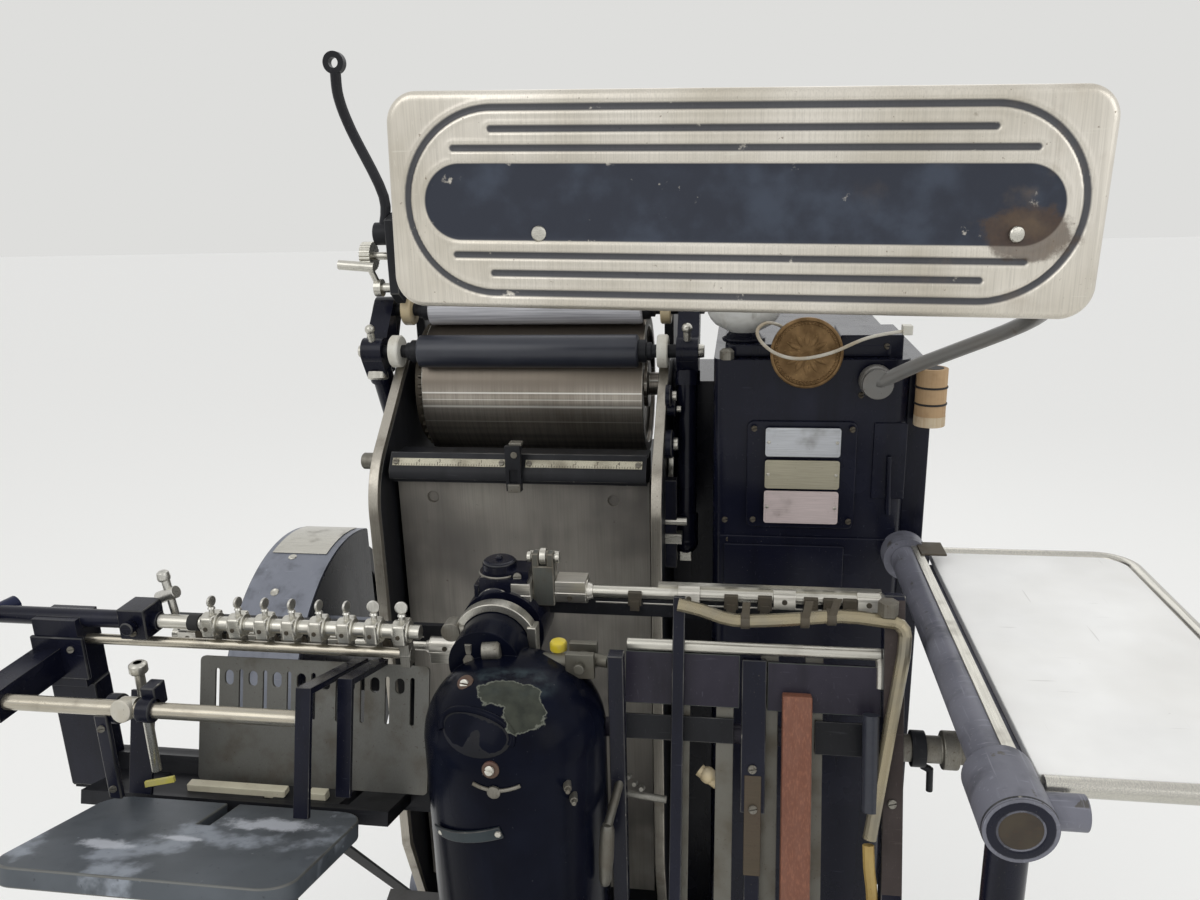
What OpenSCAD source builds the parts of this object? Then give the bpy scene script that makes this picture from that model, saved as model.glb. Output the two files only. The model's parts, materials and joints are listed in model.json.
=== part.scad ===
// Automatic platen printing press with a rotating gripper feed.
// Origin on the floor under the middle of the type bed. X runs to the operator's right,
// Y runs away from the operator, Z runs up.

/* [Base and body] */
// Length of the plinth along X
plinth_w = 640; // [600:5:700]
// Depth of the plinth along Y
plinth_d = 700; // [660:5:760]
// Height of the plinth
plinth_h = 110; // [90:5:130]
// X of the plinth's middle
plinth_x = 80; // [70:1:90]
// Y of the plinth's middle
plinth_y = 60; // [50:1:70]
// Radius of an anchor hole
anchor_r = 9; // [7:0.5:12]
// Outer radius of a foot lug
lug_r = 38; // [32:1:44]
// Thickness of a foot lug
lug_t = 28; // [22:1:36]

/* [Type bed] */
// Width of the type bed
bed_w = 310; // [290:1:330]
// Height of the bed's top edge above the floor
bed_top = 1146; // [1130:1:1160]
// Height of the bed plate itself
bed_h = 580; // [560:5:600]
// Thickness of the bed plate
bed_t = 45; // [35:1:55]
// Y of the bed's face
bed_y = 100; // [95:1:110]
// Depth of the cast body behind the bed
body_d = 255; // [235:5:280]
// Height of the chase clamp bar
clamp_h = 38; // [32:1:44]

/* [Side frames] */
// Thickness of a side frame
cheek_t = 12; // [10:1:16]
// Gap between the bed's edge and a side frame
cheek_gap = 6; // [4:1:9]
// Width of the bright roller track along a frame's edge
track_w = 9; // [6:1:12]

/* [Inking] */
// Radius of the ink drum
drum_r = 90; // [84:1:94]
// Length of the drum's face
drum_len = 282; // [270:1:290]
// Y of the drum's axis
drum_y = 260; // [255:1:265]
// Height of the drum's axis
drum_z = 1230; // [1226:1:1236]
// Radius of a form roller
roller_r = 20; // [18:1:22]
// Length of a form roller's face
roller_len = 275; // [260:1:284]
// Radius of a roller's nylon truck
truck_r = 20; // [17:1:22]
// Radius of a roller's spindle
spindle_r = 8; // [6:0.5:10]
// Running gap between two rolling faces
roll_gap = 0.4; // [0.3:0.1:1]
// Radial clearance of a spindle in its bearing
run_fit = 0.05; // [0.02:0.01:0.09]

/* [Gear cabinet] */
// Width of the cabinet
cab_w = 208; // [196:1:220]
// X of the cabinet's left wall
cab_x = 230; // [226:1:236]
// Height of the cabinet's top
cab_top = 1300; // [1285:1:1310]
// Y of the cabinet's front
cab_y = 60; // [55:1:68]
// Depth of the cabinet
cab_d = 330; // [300:5:345]

/* [Gripper rotor] */
// X of the rotor's axis
hub_x = 30; // [26:1:34]
// Height of the rotor's axis
hub_z = 1066; // [1060:1:1072]
// Radius swept by the arms
arm_reach = 372; // [360:1:376]
// Y of the arms' middle plane
arm_y = -106; // [-108:1:-104]
// Height of an arm's rod above the rotor's axis
arm_off = 34; // [30:1:38]
// Radius of an arm's rod
arm_rod_r = 6; // [5:0.5:7]
// Radius of the rotor's shaft
hub_shaft_r = 16; // [13:0.5:18]

/* [Dome housing] */
// Radius of the dome housing
dome_r = 82; // [76:1:86]
// X of the dome housing's axis
dome_x = 62; // [58:1:66]
// Y of the dome housing's axis
dome_y = -222; // [-226:1:-220]
// Height of the dome's crown
dome_top = 1077; // [1070:1:1082]

/* [Guard plate] */
// Length of the guard plate
guard_w = 572; // [550:2:590]
// Height of the guard plate
guard_h = 176; // [166:1:186]
// Depth of the guard's rolled rim
guard_d = 16; // [14:1:18]
// X of the guard's middle
guard_x = 249; // [244:1:254]
// Height of the guard's middle
guard_z = 1470; // [1464:1:1476]
// Y of the guard's face
guard_y = -164; // [-170:1:-162]
// Droop of the guard to the right, in degrees
guard_droop = 1.6; // [0:0.1:3]
// Depth of the pressed grooves
press_depth = 2.4; // [1.6:0.1:3]
// Radius of the guard's tube arm
guard_tube_r = 7.5; // [6:0.5:8]

/* [Feed table] */
// Tilt of the feed table and the stacks, in degrees
feed_tilt = 17; // [15:0.5:19]
// Height of the feed table's middle
feed_z = 950; // [942:1:958]
// Y of the feed table's middle
feed_y = -325; // [-330:1:-322]
// Length of the feed table along X
feed_w = 262; // [240:2:280]
// Depth of the feed table
feed_d = 165; // [150:1:180]
// Thickness of the feed table
feed_t = 17; // [13:1:20]
// X of the feed table's middle
feed_x = -215; // [-220:1:-210]

/* [Flywheel] */
// Outer radius of the flywheel's guard
fly_guard_r = 215; // [205:1:222]
// Y of the flywheel's axis
fly_y = 220; // [214:1:226]
// Height of the flywheel's axis
fly_z = 800; // [790:1:810]
// Width of the flywheel's guard
fly_guard_w = 96; // [88:1:104]
// X of the guard's right face
fly_guard_x = -284; // [-290:1:-280]

/* [Lay table] */
// X of the lay table's black bar
bar_x = 440; // [434:1:446]
// Height of the lay table's bar
bar_z = 1085; // [1078:1:1092]
// Radius of the lay table's bar
bar_r = 16; // [13:1:18]
// Length of the white board along X
board_w = 196; // [180:2:220]
// Length of the white board along Y
board_d = 400; // [380:5:420]

/* [Hidden] */
$fn = 48;

cheek_in = bed_w / 2 + cheek_gap;
cheek_out = cheek_in + cheek_t;
body_y = bed_y + bed_t;
body_back = body_y + body_d;
body_top = bed_top - 30;

// Axes of the two form rollers, which lean on the drum at these angles above the horizontal
lower_angle = 147;
upper_angle = 109;
roll_dist = drum_r + roller_r + roll_gap;
lower_y = drum_y + roll_dist * cos(lower_angle);
lower_z = drum_z + roll_dist * sin(lower_angle);
upper_y = drum_y + roll_dist * cos(upper_angle);
upper_z = drum_z + roll_dist * sin(upper_angle);

// The saddles that carry the rollers' ends stand outside the side frames
saddle_x = cheek_out + 10;
saddle_t = 26;
spindle_end = saddle_x + 18;
truck_t = 13;

// Track edge of a side frame: up the front, then back at this angle under the trucks
track_y = bed_y - 56;
track_slope = 40;
track_lead = truck_r + 0.6;

// Front of the deck that stays free for the sweeping arms
arm_depth = 56;
sweep_front = arm_y - arm_depth / 2;

// Half the width of the block on the rotor that carries an arm, and the barrel at its left
hub_block = 26;
barrel_r = 20;
barrel_h = arm_off + 28;

// The air line runs along the posts' front, bends down beside the right one and goes below
air_r = 6;
air_z = 200;
air_bend = 12;
air_end_x = 376;
air_end_z = 10;

// White board beside the bar, and the chrome tube round its edge
rail_r = 7;
rail_bend = 26;

// Front of the column that the feed table slides on
column_y = 131;

// Motor on its shelf behind the plinth, and the flat belt to the flywheel's rim
motor_y = plinth_y + plinth_d / 2 + 80;
motor_z = plinth_h + 88;
motor_r = 74;
belt_x = fly_guard_x - 60;
belt_w = 26;
belt_t = 4;
belt_seat = 0.4;
pulley_r = 34;
wheel_r = fly_guard_r - 20;

function unit(v) = v / norm(v);

// Point i of a smooth curve through the points p, with k steps to each stretch
function curve_point(p, i, s) = let (
    a = p[max(i - 1, 0)], b = p[i], c = p[i + 1], d = p[min(i + 2, len(p) - 1)])
    0.5 * (2 * b + (c - a) * s + (2 * a - 5 * b + 4 * c - d) * s * s
    + (3 * b - a - 3 * c + d) * s * s * s);
function curve(p, k) = [for (i = [0 : len(p) - 2], j = [0 : k - 1]) curve_point(p, i, j / k),
    p[len(p) - 1]];

// Ring of a swept tube at q, square to the direction t, turned against the side vector
function ring(q, t, side, r, n) = let (u = unit(cross(side, t)), v = cross(t, u))
    [for (j = [0 : n - 1]) q + r * (cos(360 * j / n) * u + sin(360 * j / n) * v)];

module swept_tube(p, r, side, n = 12) {
    m = len(p);
    rings = [for (i = [0 : m - 1])
        let (t = unit(p[min(i + 1, m - 1)] - p[max(i - 1, 0)])) each ring(p[i], t, side, r, n)];
    walls = [for (i = [0 : m - 2], j = [0 : n - 1])
        let (a = i * n + j, b = i * n + (j + 1) % n) each [[a, b + n, b], [a, a + n, b + n]]];
    near = [for (j = [0 : n - 1]) j];
    far = [for (j = [n - 1 : -1 : 0]) (m - 1) * n + j];
    polyhedron(rings, concat(walls, [near, far]), convexity = 6);
}

module rounded_rect(w, d, r) {
    translate([r, 0]) square([w - 2 * r, d]);
    translate([0, r]) square([w, d - 2 * r]);
    for (x = [r, w - r], y = [r, d - r]) translate([x, y]) circle(r);
}

module rounded_box(w, d, h, r) {
    linear_extrude(h) rounded_rect(w, d, r);
}

// Plate of thickness t whose outline is drawn in Y and Z, with its left face at x
module side_plate(x, t) {
    translate([x, 0, 0]) rotate([90, 0, 90]) linear_extrude(t) children();
}

module rod_x(x0, x1, y, z, r) {
    translate([x0, y, z]) rotate([0, 90, 0]) cylinder(h = x1 - x0, r = r);
}

module rod_y(x, y0, y1, z, r) {
    translate([x, y0, z]) rotate([-90, 0, 0]) cylinder(h = y1 - y0, r = r);
}

module rod_to(a, b, r) {
    v = b - a;
    translate(a) rotate([0, acos(v[2] / norm(v)), atan2(v[1], v[0])]) cylinder(h = norm(v), r = r);
}

// Frame of the feed table: X as the press, y along the table to the back, z along the stacks
module feed_frame() {
    translate([0, feed_y, feed_z]) rotate([-feed_tilt, 0, 0]) children();
}

module anchors(r, h) {
    for (x = [-1, 1], y = [-1, 1])
        translate([plinth_x + x * plinth_w / 2, plinth_y + y * plinth_d / 2, -1])
            cylinder(h = h, r = r);
}

// Two ears carry the platen's shaft
ear_x = 128;
ear_t = 26;
shaft_y = 30;
shaft_z = 330;
shaft_r = 15;

module base_frame() {
    color([0.13, 0.13, 0.15]) difference() {
        union() {
            translate([plinth_x - plinth_w / 2, plinth_y - plinth_d / 2, 0])
                rounded_box(plinth_w, plinth_d, plinth_h, 60);
            translate([0, 0, 1]) anchors(lug_r, lug_t);
            translate([-250, plinth_y + plinth_d / 2 - 10, plinth_h - 16]) cube([230, 170, 16]);
            for (s = [-1, 1]) side_plate(s * ear_x - ear_t / 2, ear_t) {
                translate([shaft_y - 40, plinth_h - 10]) square([80, shaft_z - plinth_h + 10]);
                translate([shaft_y, shaft_z]) circle(40);
            }
        }
        anchors(anchor_r, lug_t + plinth_h + 10);
        anchors_spot();
        rod_x(-ear_x - ear_t, ear_x + ear_t, shaft_y, shaft_z, shaft_r + run_fit);
    }
}

// Clears the plinth above each foot lug for the bolt's head and spanner
module anchors_spot() {
    translate([0, 0, lug_t + 1]) anchors(lug_r - 6, plinth_h);
}

module main_body() {
    color([0.12, 0.12, 0.14]) difference() {
        translate([-cheek_in, body_y, plinth_h])
            rounded_box(2 * cheek_in, body_d, body_top - plinth_h, 12);
        for (z = [plinth_h + 60, plinth_h + 540])
            translate([-cheek_in + 34, body_back - 14, z]) cube([2 * cheek_in - 68, 20, 400]);
        for (x = [-cheek_in - 4, cheek_in - 10]) translate([x, body_y + 40, plinth_h + 50])
            cube([14, body_d - 80, 240]);
    }
}

module bed_plate() {
    color([0.36, 0.36, 0.37]) difference() {
        translate([-bed_w / 2, bed_y, bed_top - bed_h]) cube([bed_w, bed_t, bed_h]);
        for (x = [-0.36, 0.36], z = [24, bed_h - 24])
            translate([x * bed_w, bed_y - 1, bed_top - z]) rotate([-90, 0, 0])
                cylinder(h = 5, r = 7);
    }
}

// Outline of a side frame in Y and Z, with its curved roller track along the front
track_top_y = lower_y + 22;
track_bend = 96;
track_foot_z = lower_z - track_lead / cos(track_slope) - (lower_y - track_y) * tan(track_slope);
track_arc = track_bend * tan((90 - track_slope) / 2);
frame_top_z = track_foot_z + (track_top_y - track_y) * tan(track_slope);

module track_line(inset) {
    cy = track_y + track_bend;
    cz = track_foot_z - track_arc;
    a1 = 90 + track_slope;
    arc = [for (a = [180 : -(180 - a1) / 10 : a1])
        [cy + (track_bend - inset) * cos(a), cz + (track_bend - inset) * sin(a)]];
    shift = [inset * sin(track_slope), -inset * cos(track_slope)];
    polygon(concat([[body_back, plinth_h + 250], [body_y, plinth_h + 250],
        [track_y + inset, bed_top - bed_h + 90]], arc,
        [[track_top_y, frame_top_z] + shift, [track_top_y + 10, frame_top_z - track_w],
        [body_back, frame_top_z - track_w]]));
}

module side_frame(s) {
    x = s > 0 ? cheek_in : -cheek_out;
    difference() {
        side_plate(x, cheek_t) track_line(track_w);
        rod_x(-cheek_out - 1, cheek_out + 1, drum_y, drum_z, 15 + run_fit);
        rod_x(-cheek_out - 1, cheek_out + 1, 320, 960, 46);
    }
}

// Stub shaft that stands out of the left side frame
stub_y = 112;
stub_z = 1163;
module left_side_frame() {
    color([0.2, 0.2, 0.21]) {
        side_frame(-1);
        rod_x(-cheek_out - 28, -cheek_out, stub_y, stub_z, 9.5);
    }
}

module right_side_frame() {
    color([0.2, 0.2, 0.21]) side_frame(1);
}

module roller_tracks() {
    color([0.72, 0.72, 0.7]) for (x = [-cheek_out, cheek_in]) difference() {
        side_plate(x, cheek_t) difference() {
            track_line(0);
            track_line(track_w);
        }
        translate([x - 1, body_y - 20, plinth_h]) cube([cheek_t + 2, body_d + 30, 1000]);
        translate([x - 1, track_top_y, 900]) cube([cheek_t + 2, 400, 600]);
    }
}

module chase_clamp_bar() {
    color([0.1, 0.1, 0.11]) translate([-bed_w / 2 + 1, bed_y - 30, bed_top]) {
        difference() {
            cube([bed_w - 2, 62, clamp_h]);
            translate([-1, 14, clamp_h - 6]) cube([bed_w, 60, 20]);
            translate([-1, -1, -1]) cube([bed_w, 12, 8]);
        }
    }
}

module chase_clamp_lug() {
    color([0.15, 0.15, 0.15]) translate([-9, bed_y - 37, bed_top - 2]) {
        difference() {
            cube([18, 7, clamp_h + 16]);
            translate([4, -1, 10]) cube([10, 4, 16]);
        }
        translate([9, 2, clamp_h + 9]) rotate([-90, 0, 0]) cylinder(h = 19, r = 7);
    }
}

module ink_drum() {
    color([0.7, 0.7, 0.69]) difference() {
        union() {
            rod_x(-drum_len / 2, drum_len / 2, drum_y, drum_z, drum_r);
            rod_x(-cheek_out + 1, cheek_out - 1, drum_y, drum_z, 15);
        }
        for (s = [-1, 1]) translate([s * drum_len / 2, drum_y, drum_z]) rotate([0, 90, 0])
            difference() {
                cylinder(h = 12, r = drum_r - 14, center = true);
                cylinder(h = 14, r = 30, center = true);
            }
    }
}

gear_teeth = 40;
gear_t = 11;
module drum_gear() {
    root_r = drum_r - 9;
    tooth = 360 / gear_teeth;
    outline = [for (i = [0 : gear_teeth - 1]) let (a = i * tooth) each [
        [root_r * cos(a), root_r * sin(a)],
        [root_r * cos(a + 0.3 * tooth), root_r * sin(a + 0.3 * tooth)],
        [(drum_r - 2) * cos(a + 0.42 * tooth), (drum_r - 2) * sin(a + 0.42 * tooth)],
        [(drum_r - 2) * cos(a + 0.62 * tooth), (drum_r - 2) * sin(a + 0.62 * tooth)],
        [root_r * cos(a + 0.74 * tooth), root_r * sin(a + 0.74 * tooth)]]];
    color([0.45, 0.44, 0.42]) translate([-drum_len / 2 - gear_t, drum_y, drum_z])
        rotate([0, 90, 0]) linear_extrude(gear_t) difference() {
            polygon(outline);
            circle(15.2);
        }
}

module form_roller(y, z) {
    rod_x(-roller_len / 2, roller_len / 2, y, z, roller_r);
    rod_x(-spindle_end, spindle_end, y, z, spindle_r);
}

module truck_pair(y, z) {
    for (x = [-cheek_in - truck_t + 1, cheek_in - 1]) difference() {
        rod_x(x, x + truck_t, y, z, truck_r);
        rod_x(x - 1, x + truck_t + 1, y, z, spindle_r);
    }
}

module lower_form_roller() {
    color([0.07, 0.07, 0.08]) form_roller(lower_y, lower_z);
}

module lower_trucks() {
    color([0.9, 0.89, 0.84]) truck_pair(lower_y, lower_z);
}

module upper_form_roller() {
    color([0.55, 0.55, 0.55]) form_roller(upper_y, upper_z);
}

module upper_trucks() {
    color([0.83, 0.77, 0.6]) truck_pair(upper_y, upper_z);
}

arm_x = saddle_x + saddle_t / 2;
arm_foot_z = 1062;
module roller_arm(s) {
    x0 = s > 0 ? saddle_x : -saddle_x - saddle_t;
    foot = s > 0 ? [arm_x, lower_y - 40, arm_foot_z] : [-arm_x, drum_y, arm_foot_z + 30];
    difference() {
        side_plate(x0, saddle_t) {
            translate([lower_y, lower_z]) circle(17);
            translate([upper_y, upper_z]) circle(17);
            polygon([[lower_y - 14, lower_z - 10], [upper_y - 10, upper_z + 14],
                [upper_y + 16, upper_z - 4], [lower_y + 30, lower_z - 30], [lower_y, lower_z - 34]]);
        }
        rod_x(-spindle_end - 0.3, spindle_end + 0.3, lower_y, lower_z, spindle_r + run_fit);
        rod_x(-spindle_end - 0.3, spindle_end + 0.3, upper_y, upper_z, spindle_r + run_fit);
    }
    head = [s * arm_x, lower_y + 6, lower_z - 16];
    rod_to(head, foot, 12);
    rod_to(head + 0.04 * (foot - head), head + 0.12 * (foot - head), 15);
    rod_to(foot + 0.16 * (head - foot), foot, 14.5);
    translate(foot) sphere(15);
    rod_x(s > 0 ? cheek_out : -arm_x, s > 0 ? arm_x : -cheek_out, foot[1], foot[2], 8);
}

module left_roller_arm() {
    color([0.08, 0.08, 0.09]) roller_arm(-1);
}

module right_roller_arm() {
    color([0.08, 0.08, 0.09]) roller_arm(1);
}

// The fountain's frames stand on the side frames, clear of the rollers' trucks
lever_y = 205;
lever_z = 1432;
knob_y = 215;
knob_z = 1404;
crank_y = 196;
crank_z = 1366;
// Axes of the two rider rollers behind the form rollers, in Y and Z
rider_r = 27;
rider_at = [[drum_y + 44, drum_z + 110], [drum_y + 110, drum_z + 160]];
module ink_frames() {
    base_z = frame_top_z - track_w;
    color([0.13, 0.13, 0.14]) for (x = [-cheek_out, cheek_in]) difference() {
        side_plate(x, cheek_t) polygon([[262, base_z], [body_back, base_z],
            [body_back + 50, 1400], [body_back + 50, 1490], [320, 1490], [176, 1450],
            [176, 1360], [196, 1346], [214, 1362], [250, 1362], [262, 1350]]);
        for (p = rider_at) rod_x(x - 1, x + cheek_t + 1, p[0], p[1], 10.2);
    }
}

module ink_fountain() {
    color([0.3, 0.3, 0.31]) {
        side_plate(-cheek_in, 2 * cheek_in)
            polygon([[388, 1430], [430, 1402], [448, 1410], [448, 1500], [436, 1500],
                [436, 1435], [392, 1450]]);
        for (x = [-cheek_in, cheek_in - 8])
            side_plate(x, 8) polygon([[400, 1440], [440, 1420], [440, 1496], [400, 1496]]);
    }
}

module rider_rollers() {
    color([0.1, 0.1, 0.11]) {
        for (p = rider_at) {
            rod_x(-drum_len / 2, drum_len / 2, p[0], p[1], rider_r);
            rod_x(-cheek_out, cheek_out, p[0], p[1], 10);
        }
    }
}

knob_x = -cheek_out - 31;
module fountain_knob() {
    color([0.62, 0.62, 0.6]) {
        rod_x(knob_x, -cheek_out - 0.4, knob_y, knob_z, 5);
        difference() {
            rod_x(knob_x - 14, knob_x, knob_y, knob_z, 18);
            for (i = [0 : 23]) translate([knob_x - 16, knob_y, knob_z]) rotate([i * 15, 0, 0])
                translate([0, 0, 18.6]) rotate([0, 90, 0]) cylinder(h = 20, r = 1.6, $fn = 16);
        }
    }
}

module fountain_crank() {
    x = -cheek_out - 16;
    color([0.66, 0.66, 0.63]) {
        rod_x(x, -cheek_out - 0.4, crank_y, crank_z, 6);
        rod_x(x - 9, x, crank_y, crank_z, 11);
        rod_to([x - 4, crank_y, crank_z], [x - 12, crank_y - 8, crank_z + 26], 4);
        rod_to([x - 6, crank_y - 8, crank_z + 26], [x - 52, crank_y - 8, crank_z + 30], 6);
    }
}

module throw_off_lever() {
    p = curve([[-cheek_out - 14, lever_y, lever_z], [-cheek_out - 8, lever_y, lever_z + 45],
        [-215, lever_y, 1556], [-227, lever_y, 1594], [-228, lever_y, 1621]], 5);
    color([0.16, 0.17, 0.2]) {
        swept_tube(p, 6.5, [0, 1, 0]);
        rod_x(-cheek_out - 22, -cheek_out - 0.4, lever_y, lever_z, 14);
        translate([-228, lever_y - 5, 1633]) rotate([-90, 0, 0]) difference() {
            cylinder(h = 10, r = 13);
            translate([0, 0, -1]) cylinder(h = 12, r = 6);
        }
    }
}

// Top of the web between the right side frame and the cabinet
web_top = 1240;
module gear_cabinet() {
    color([0.06, 0.06, 0.08]) {
        translate([cab_x, cab_y, plinth_h]) rounded_box(cab_w, cab_d, cab_top - plinth_h, 16);
        translate([cheek_out, cab_y + 170, plinth_h])
            cube([cab_x - cheek_out + 5, 150, web_top - plinth_h]);
    }
}

module cabinet_door() {
    color([0.07, 0.07, 0.09]) translate([cab_x + 37, cab_y - 4, cab_top - 190])
        rotate([90, 0, 0]) translate([0, 0, -4]) rounded_box(118, 123, 4, 8);
}

module cabinet_cap() {
    color([0.07, 0.07, 0.09]) translate([cab_x + 12, cab_y + 14, cab_top])
        rounded_box(cab_w - 24, cab_d - 40, 14, 14);
}

module cabinet_side_panel() {
    color([0.16, 0.16, 0.17]) translate([cab_x + cab_w, cab_y + 20, 620])
        cube([26, cab_d - 60, cab_top - 630]);
}

module oil_cup() {
    color("white") translate([cab_x + 32, cab_y + 48, cab_top + 14]) rotate_extrude()
        polygon([[0, 0], [14, 0], [14, 8], [32, 18], [40, 30], [41, 40], [38, 44], [0, 44]]);
}

module medallion() {
    color([0.45, 0.33, 0.18]) translate([cab_x + 98, cab_y - 4, cab_top + 8])
        rotate([-90, 0, 0]) difference() {
            cylinder(h = 4, r = 38);
            translate([0, 0, -1]) cylinder(h = 2, r = 33);
        }
}

// The guard swings about the boss on the cabinet's front
boss_x = 400;
boss_z = 1279;
module place_guard() {
    translate([guard_x, guard_y, guard_z]) rotate([0, guard_droop, 0]) rotate([90, 0, 0])
        children();
}

guard_wall = 5;
module pill(w, h, t) {
    r = h / 2;
    linear_extrude(t) {
        for (s = [-1, 1]) translate([s * (w / 2 - r), 0]) circle(r);
        square([w - h, h], center = true);
    }
}

module corner_pillar(r, e) {
    rotate_extrude($fn = 32) {
        square([r, guard_d - e]);
        square([r - e, guard_d]);
        translate([r - e, guard_d - e]) circle(e);
    }
}

module guard_plate() {
    r = 26;
    e = 7;
    color([0.7, 0.69, 0.64]) place_guard() translate([0, 0, -guard_d]) difference() {
        hull() for (x = [-1, 1], y = [-1, 1])
            translate([x * (guard_w / 2 - r), y * (guard_h / 2 - r), 0]) corner_pillar(r, e);
        translate([-guard_w / 2 + 4, -guard_h / 2 + 4, -1])
            rounded_box(guard_w - 8, guard_h - 8, guard_d - guard_wall + 1, r - 4);
        translate([0, 0, guard_d - press_depth]) {
            difference() {
                pill(guard_w - 28, guard_h - 22, 10);
                translate([0, 0, -1]) pill(guard_w - 38, guard_h - 32, 12);
            }
            pill(guard_w - 60, 64, 10);
            for (s = [-1, 1], k = [0, 1]) translate([0, s * (43 + 15 * k), 0])
                pill(guard_w - 106 - 64 * k, 6, 10);
        }
    }
}

module guard_arm() {
    tube_y = guard_y + guard_d - guard_tube_r + 5.2;
    p = curve([[boss_x, cab_y - 20, boss_z], [boss_x + 40, cab_y - 38, boss_z + 25],
        [boss_x + 118, cab_y - 90, boss_z + 72], [boss_x + 122, cab_y - 155, boss_z + 104],
        [boss_x + 104, guard_y + guard_d + 16, guard_z - 60],
        [boss_x + 62, tube_y, guard_z - 38], [boss_x + 10, tube_y, guard_z - 32],
        [guard_x - 100, tube_y, guard_z - 24], [guard_x - 160, tube_y, guard_z - 22]], 5);
    color([0.62, 0.63, 0.62]) {
        swept_tube(p, guard_tube_r, [0, 0.3, 1]);
        rod_y(boss_x, cab_y - 26, cab_y - 0.4, boss_z, 15);
        for (x = [guard_x - 130, guard_x + 190])
            rod_y(x, guard_y + guard_wall, tube_y, guard_z - (x < guard_x ? 23 : 34), 5);
    }
}

module gripper_housing() {
    color([0.08, 0.08, 0.1]) difference() {
        union() {
            translate([dome_x, dome_y, plinth_h]) cylinder(h = dome_top - 60 - plinth_h, r = dome_r);
            translate([dome_x, dome_y, dome_top - 60]) rotate_extrude() intersection() {
                translate([dome_r - 60, 0]) circle(60);
                square([dome_r, 60]);
            }
            translate([dome_x, dome_y, dome_top - 60]) cylinder(h = 60, r = dome_r - 60);
            translate([dome_x - 60, dome_y, plinth_h]) cube([120, dome_r - 4, 560]);
            rod_y(hub_x, dome_y + 20, sweep_front - 6, hub_z, 34);
            translate([hub_x - 28, dome_y + 40, dome_top - 150])
                cube([56, sweep_front - 8 - dome_y - 40, hub_z - dome_top + 150]);
        }
        rod_y(hub_x, dome_y + 60, sweep_front, hub_z, hub_shaft_r + run_fit);
    }
}

module gripper_hub() {
    color([0.08, 0.08, 0.1]) difference() {
        union() {
            rod_y(hub_x, dome_y + 62, arm_y, hub_z, hub_shaft_r);
            rod_y(hub_x, sweep_front, sweep_front + arm_depth, hub_z, 42);
            for (k = [0, 1]) on_rotor(k) {
                translate([-hub_block + barrel_r, arm_y, 0]) {
                    cylinder(h = barrel_h - 8, r = barrel_r);
                    translate([0, 0, barrel_h - 8]) cylinder(h = 8, r = barrel_r - 3);
                }
                translate([-hub_block + 4, arm_y - 22, 0])
                    cube([2 * hub_block - 4, 44, arm_off + 18]);
                translate([0, arm_y - 14, 0]) cube([hub_block, 28, barrel_h - 4]);
            }
        }
        for (k = [0, 1]) on_rotor(k) translate([hub_block, arm_y - 14, arm_off - 14])
            cube([40, 28, 40]);
    }
}

// Puts a piece on one of the rotor's two arms, half a turn apart
module on_rotor(k) {
    translate([hub_x, 0, hub_z]) rotate([0, 180 * k, 0]) children();
}

// Collars on an arm's rod, with a margin where they are cut out of the bar
collar_r = 9;
collar_w = 21;
collar_at = [146, 237, 315];
module arm_collars(gap) {
    for (x = collar_at) translate([hub_block + x - gap, arm_y, arm_off])
        rotate([0, 90, 0]) cylinder(h = collar_w + 2 * gap, r = collar_r + gap);
}

// Clamp of an arm at its root: a washer, the upright lever, and the sleeve beside it
seat_w = 4;
lever_w = 21;
sleeve_w = 32;
sleeve_r = 12;

module gripper_arms() {
    color([0.68, 0.68, 0.66]) for (k = [0, 1]) on_rotor(k) {
        translate([hub_block, arm_y, arm_off]) rotate([0, 90, 0]) {
            cylinder(h = arm_reach - hub_block, r = arm_rod_r);
            cylinder(h = seat_w, r = sleeve_r);
            translate([0, 0, seat_w + lever_w]) cylinder(h = sleeve_w, r = sleeve_r);
        }
        translate([hub_block + seat_w, arm_y - 5, arm_off - sleeve_r])
            cube([lever_w, 10, sleeve_r + 40]);
        translate([hub_block + seat_w - 4, arm_y, arm_off + 36]) rotate([0, 90, 0])
            cylinder(h = lever_w + 8, r = 5);
        translate([hub_block + 126, arm_y + 1, arm_off - 3]) cube([212, 7, 12]);
        arm_collars(0);
    }
}

// A gripper bar's height and start, and its fingers
bar_h = 18;
bar_start = 17.2;
finger_w = 14;
finger_at = [97, 190, 222, 265, 283, 301];
module gripper_bars() {
    color([0.12, 0.12, 0.13]) for (k = [0, 1]) on_rotor(k) difference() {
        union() {
            translate([hub_block + bar_start, arm_y - 3, arm_off - arm_rod_r - bar_h])
                cube([arm_reach - hub_block - bar_start - 6, 6, bar_h]);
            for (x = finger_at) translate([hub_block + x, arm_y - 9,
                arm_off - arm_rod_r - 5]) cube([finger_w, 18, 5]);
        }
        arm_collars(0.2);
        translate([0, arm_y, arm_off]) rotate([0, 90, 0])
            cylinder(h = hub_block + seat_w + lever_w + sleeve_w + 0.4, r = sleeve_r + 0.5);
    }
}

platen_tilt = 16;
module platen() {
    color([0.3, 0.3, 0.31]) {
        translate([0, shaft_y, shaft_z]) rotate([platen_tilt, 0, 0]) {
            translate([-105, -20, -36]) cube([210, 48, 76]);
            translate([-160, -24, 40]) cube([320, 52, 290]);
        }
        rod_x(-ear_x - ear_t / 2 - 8, ear_x + ear_t / 2 + 8, shaft_y, shaft_z, shaft_r);
    }
}

// Places of the delivery's pieces, in the feed table's frame
slat_y = 120;
slat_top = 168;
stack_foot = -430;
slat_w = 16;
slat_step = 40;
slat_x = 209;
module delivery_slats() {
    color([0.6, 0.6, 0.58]) feed_frame() for (i = [0 : 3])
        translate([slat_x + i * slat_step - slat_w / 2, slat_y, stack_foot])
            cube([slat_w, 4, slat_top - stack_foot]);
}

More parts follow.
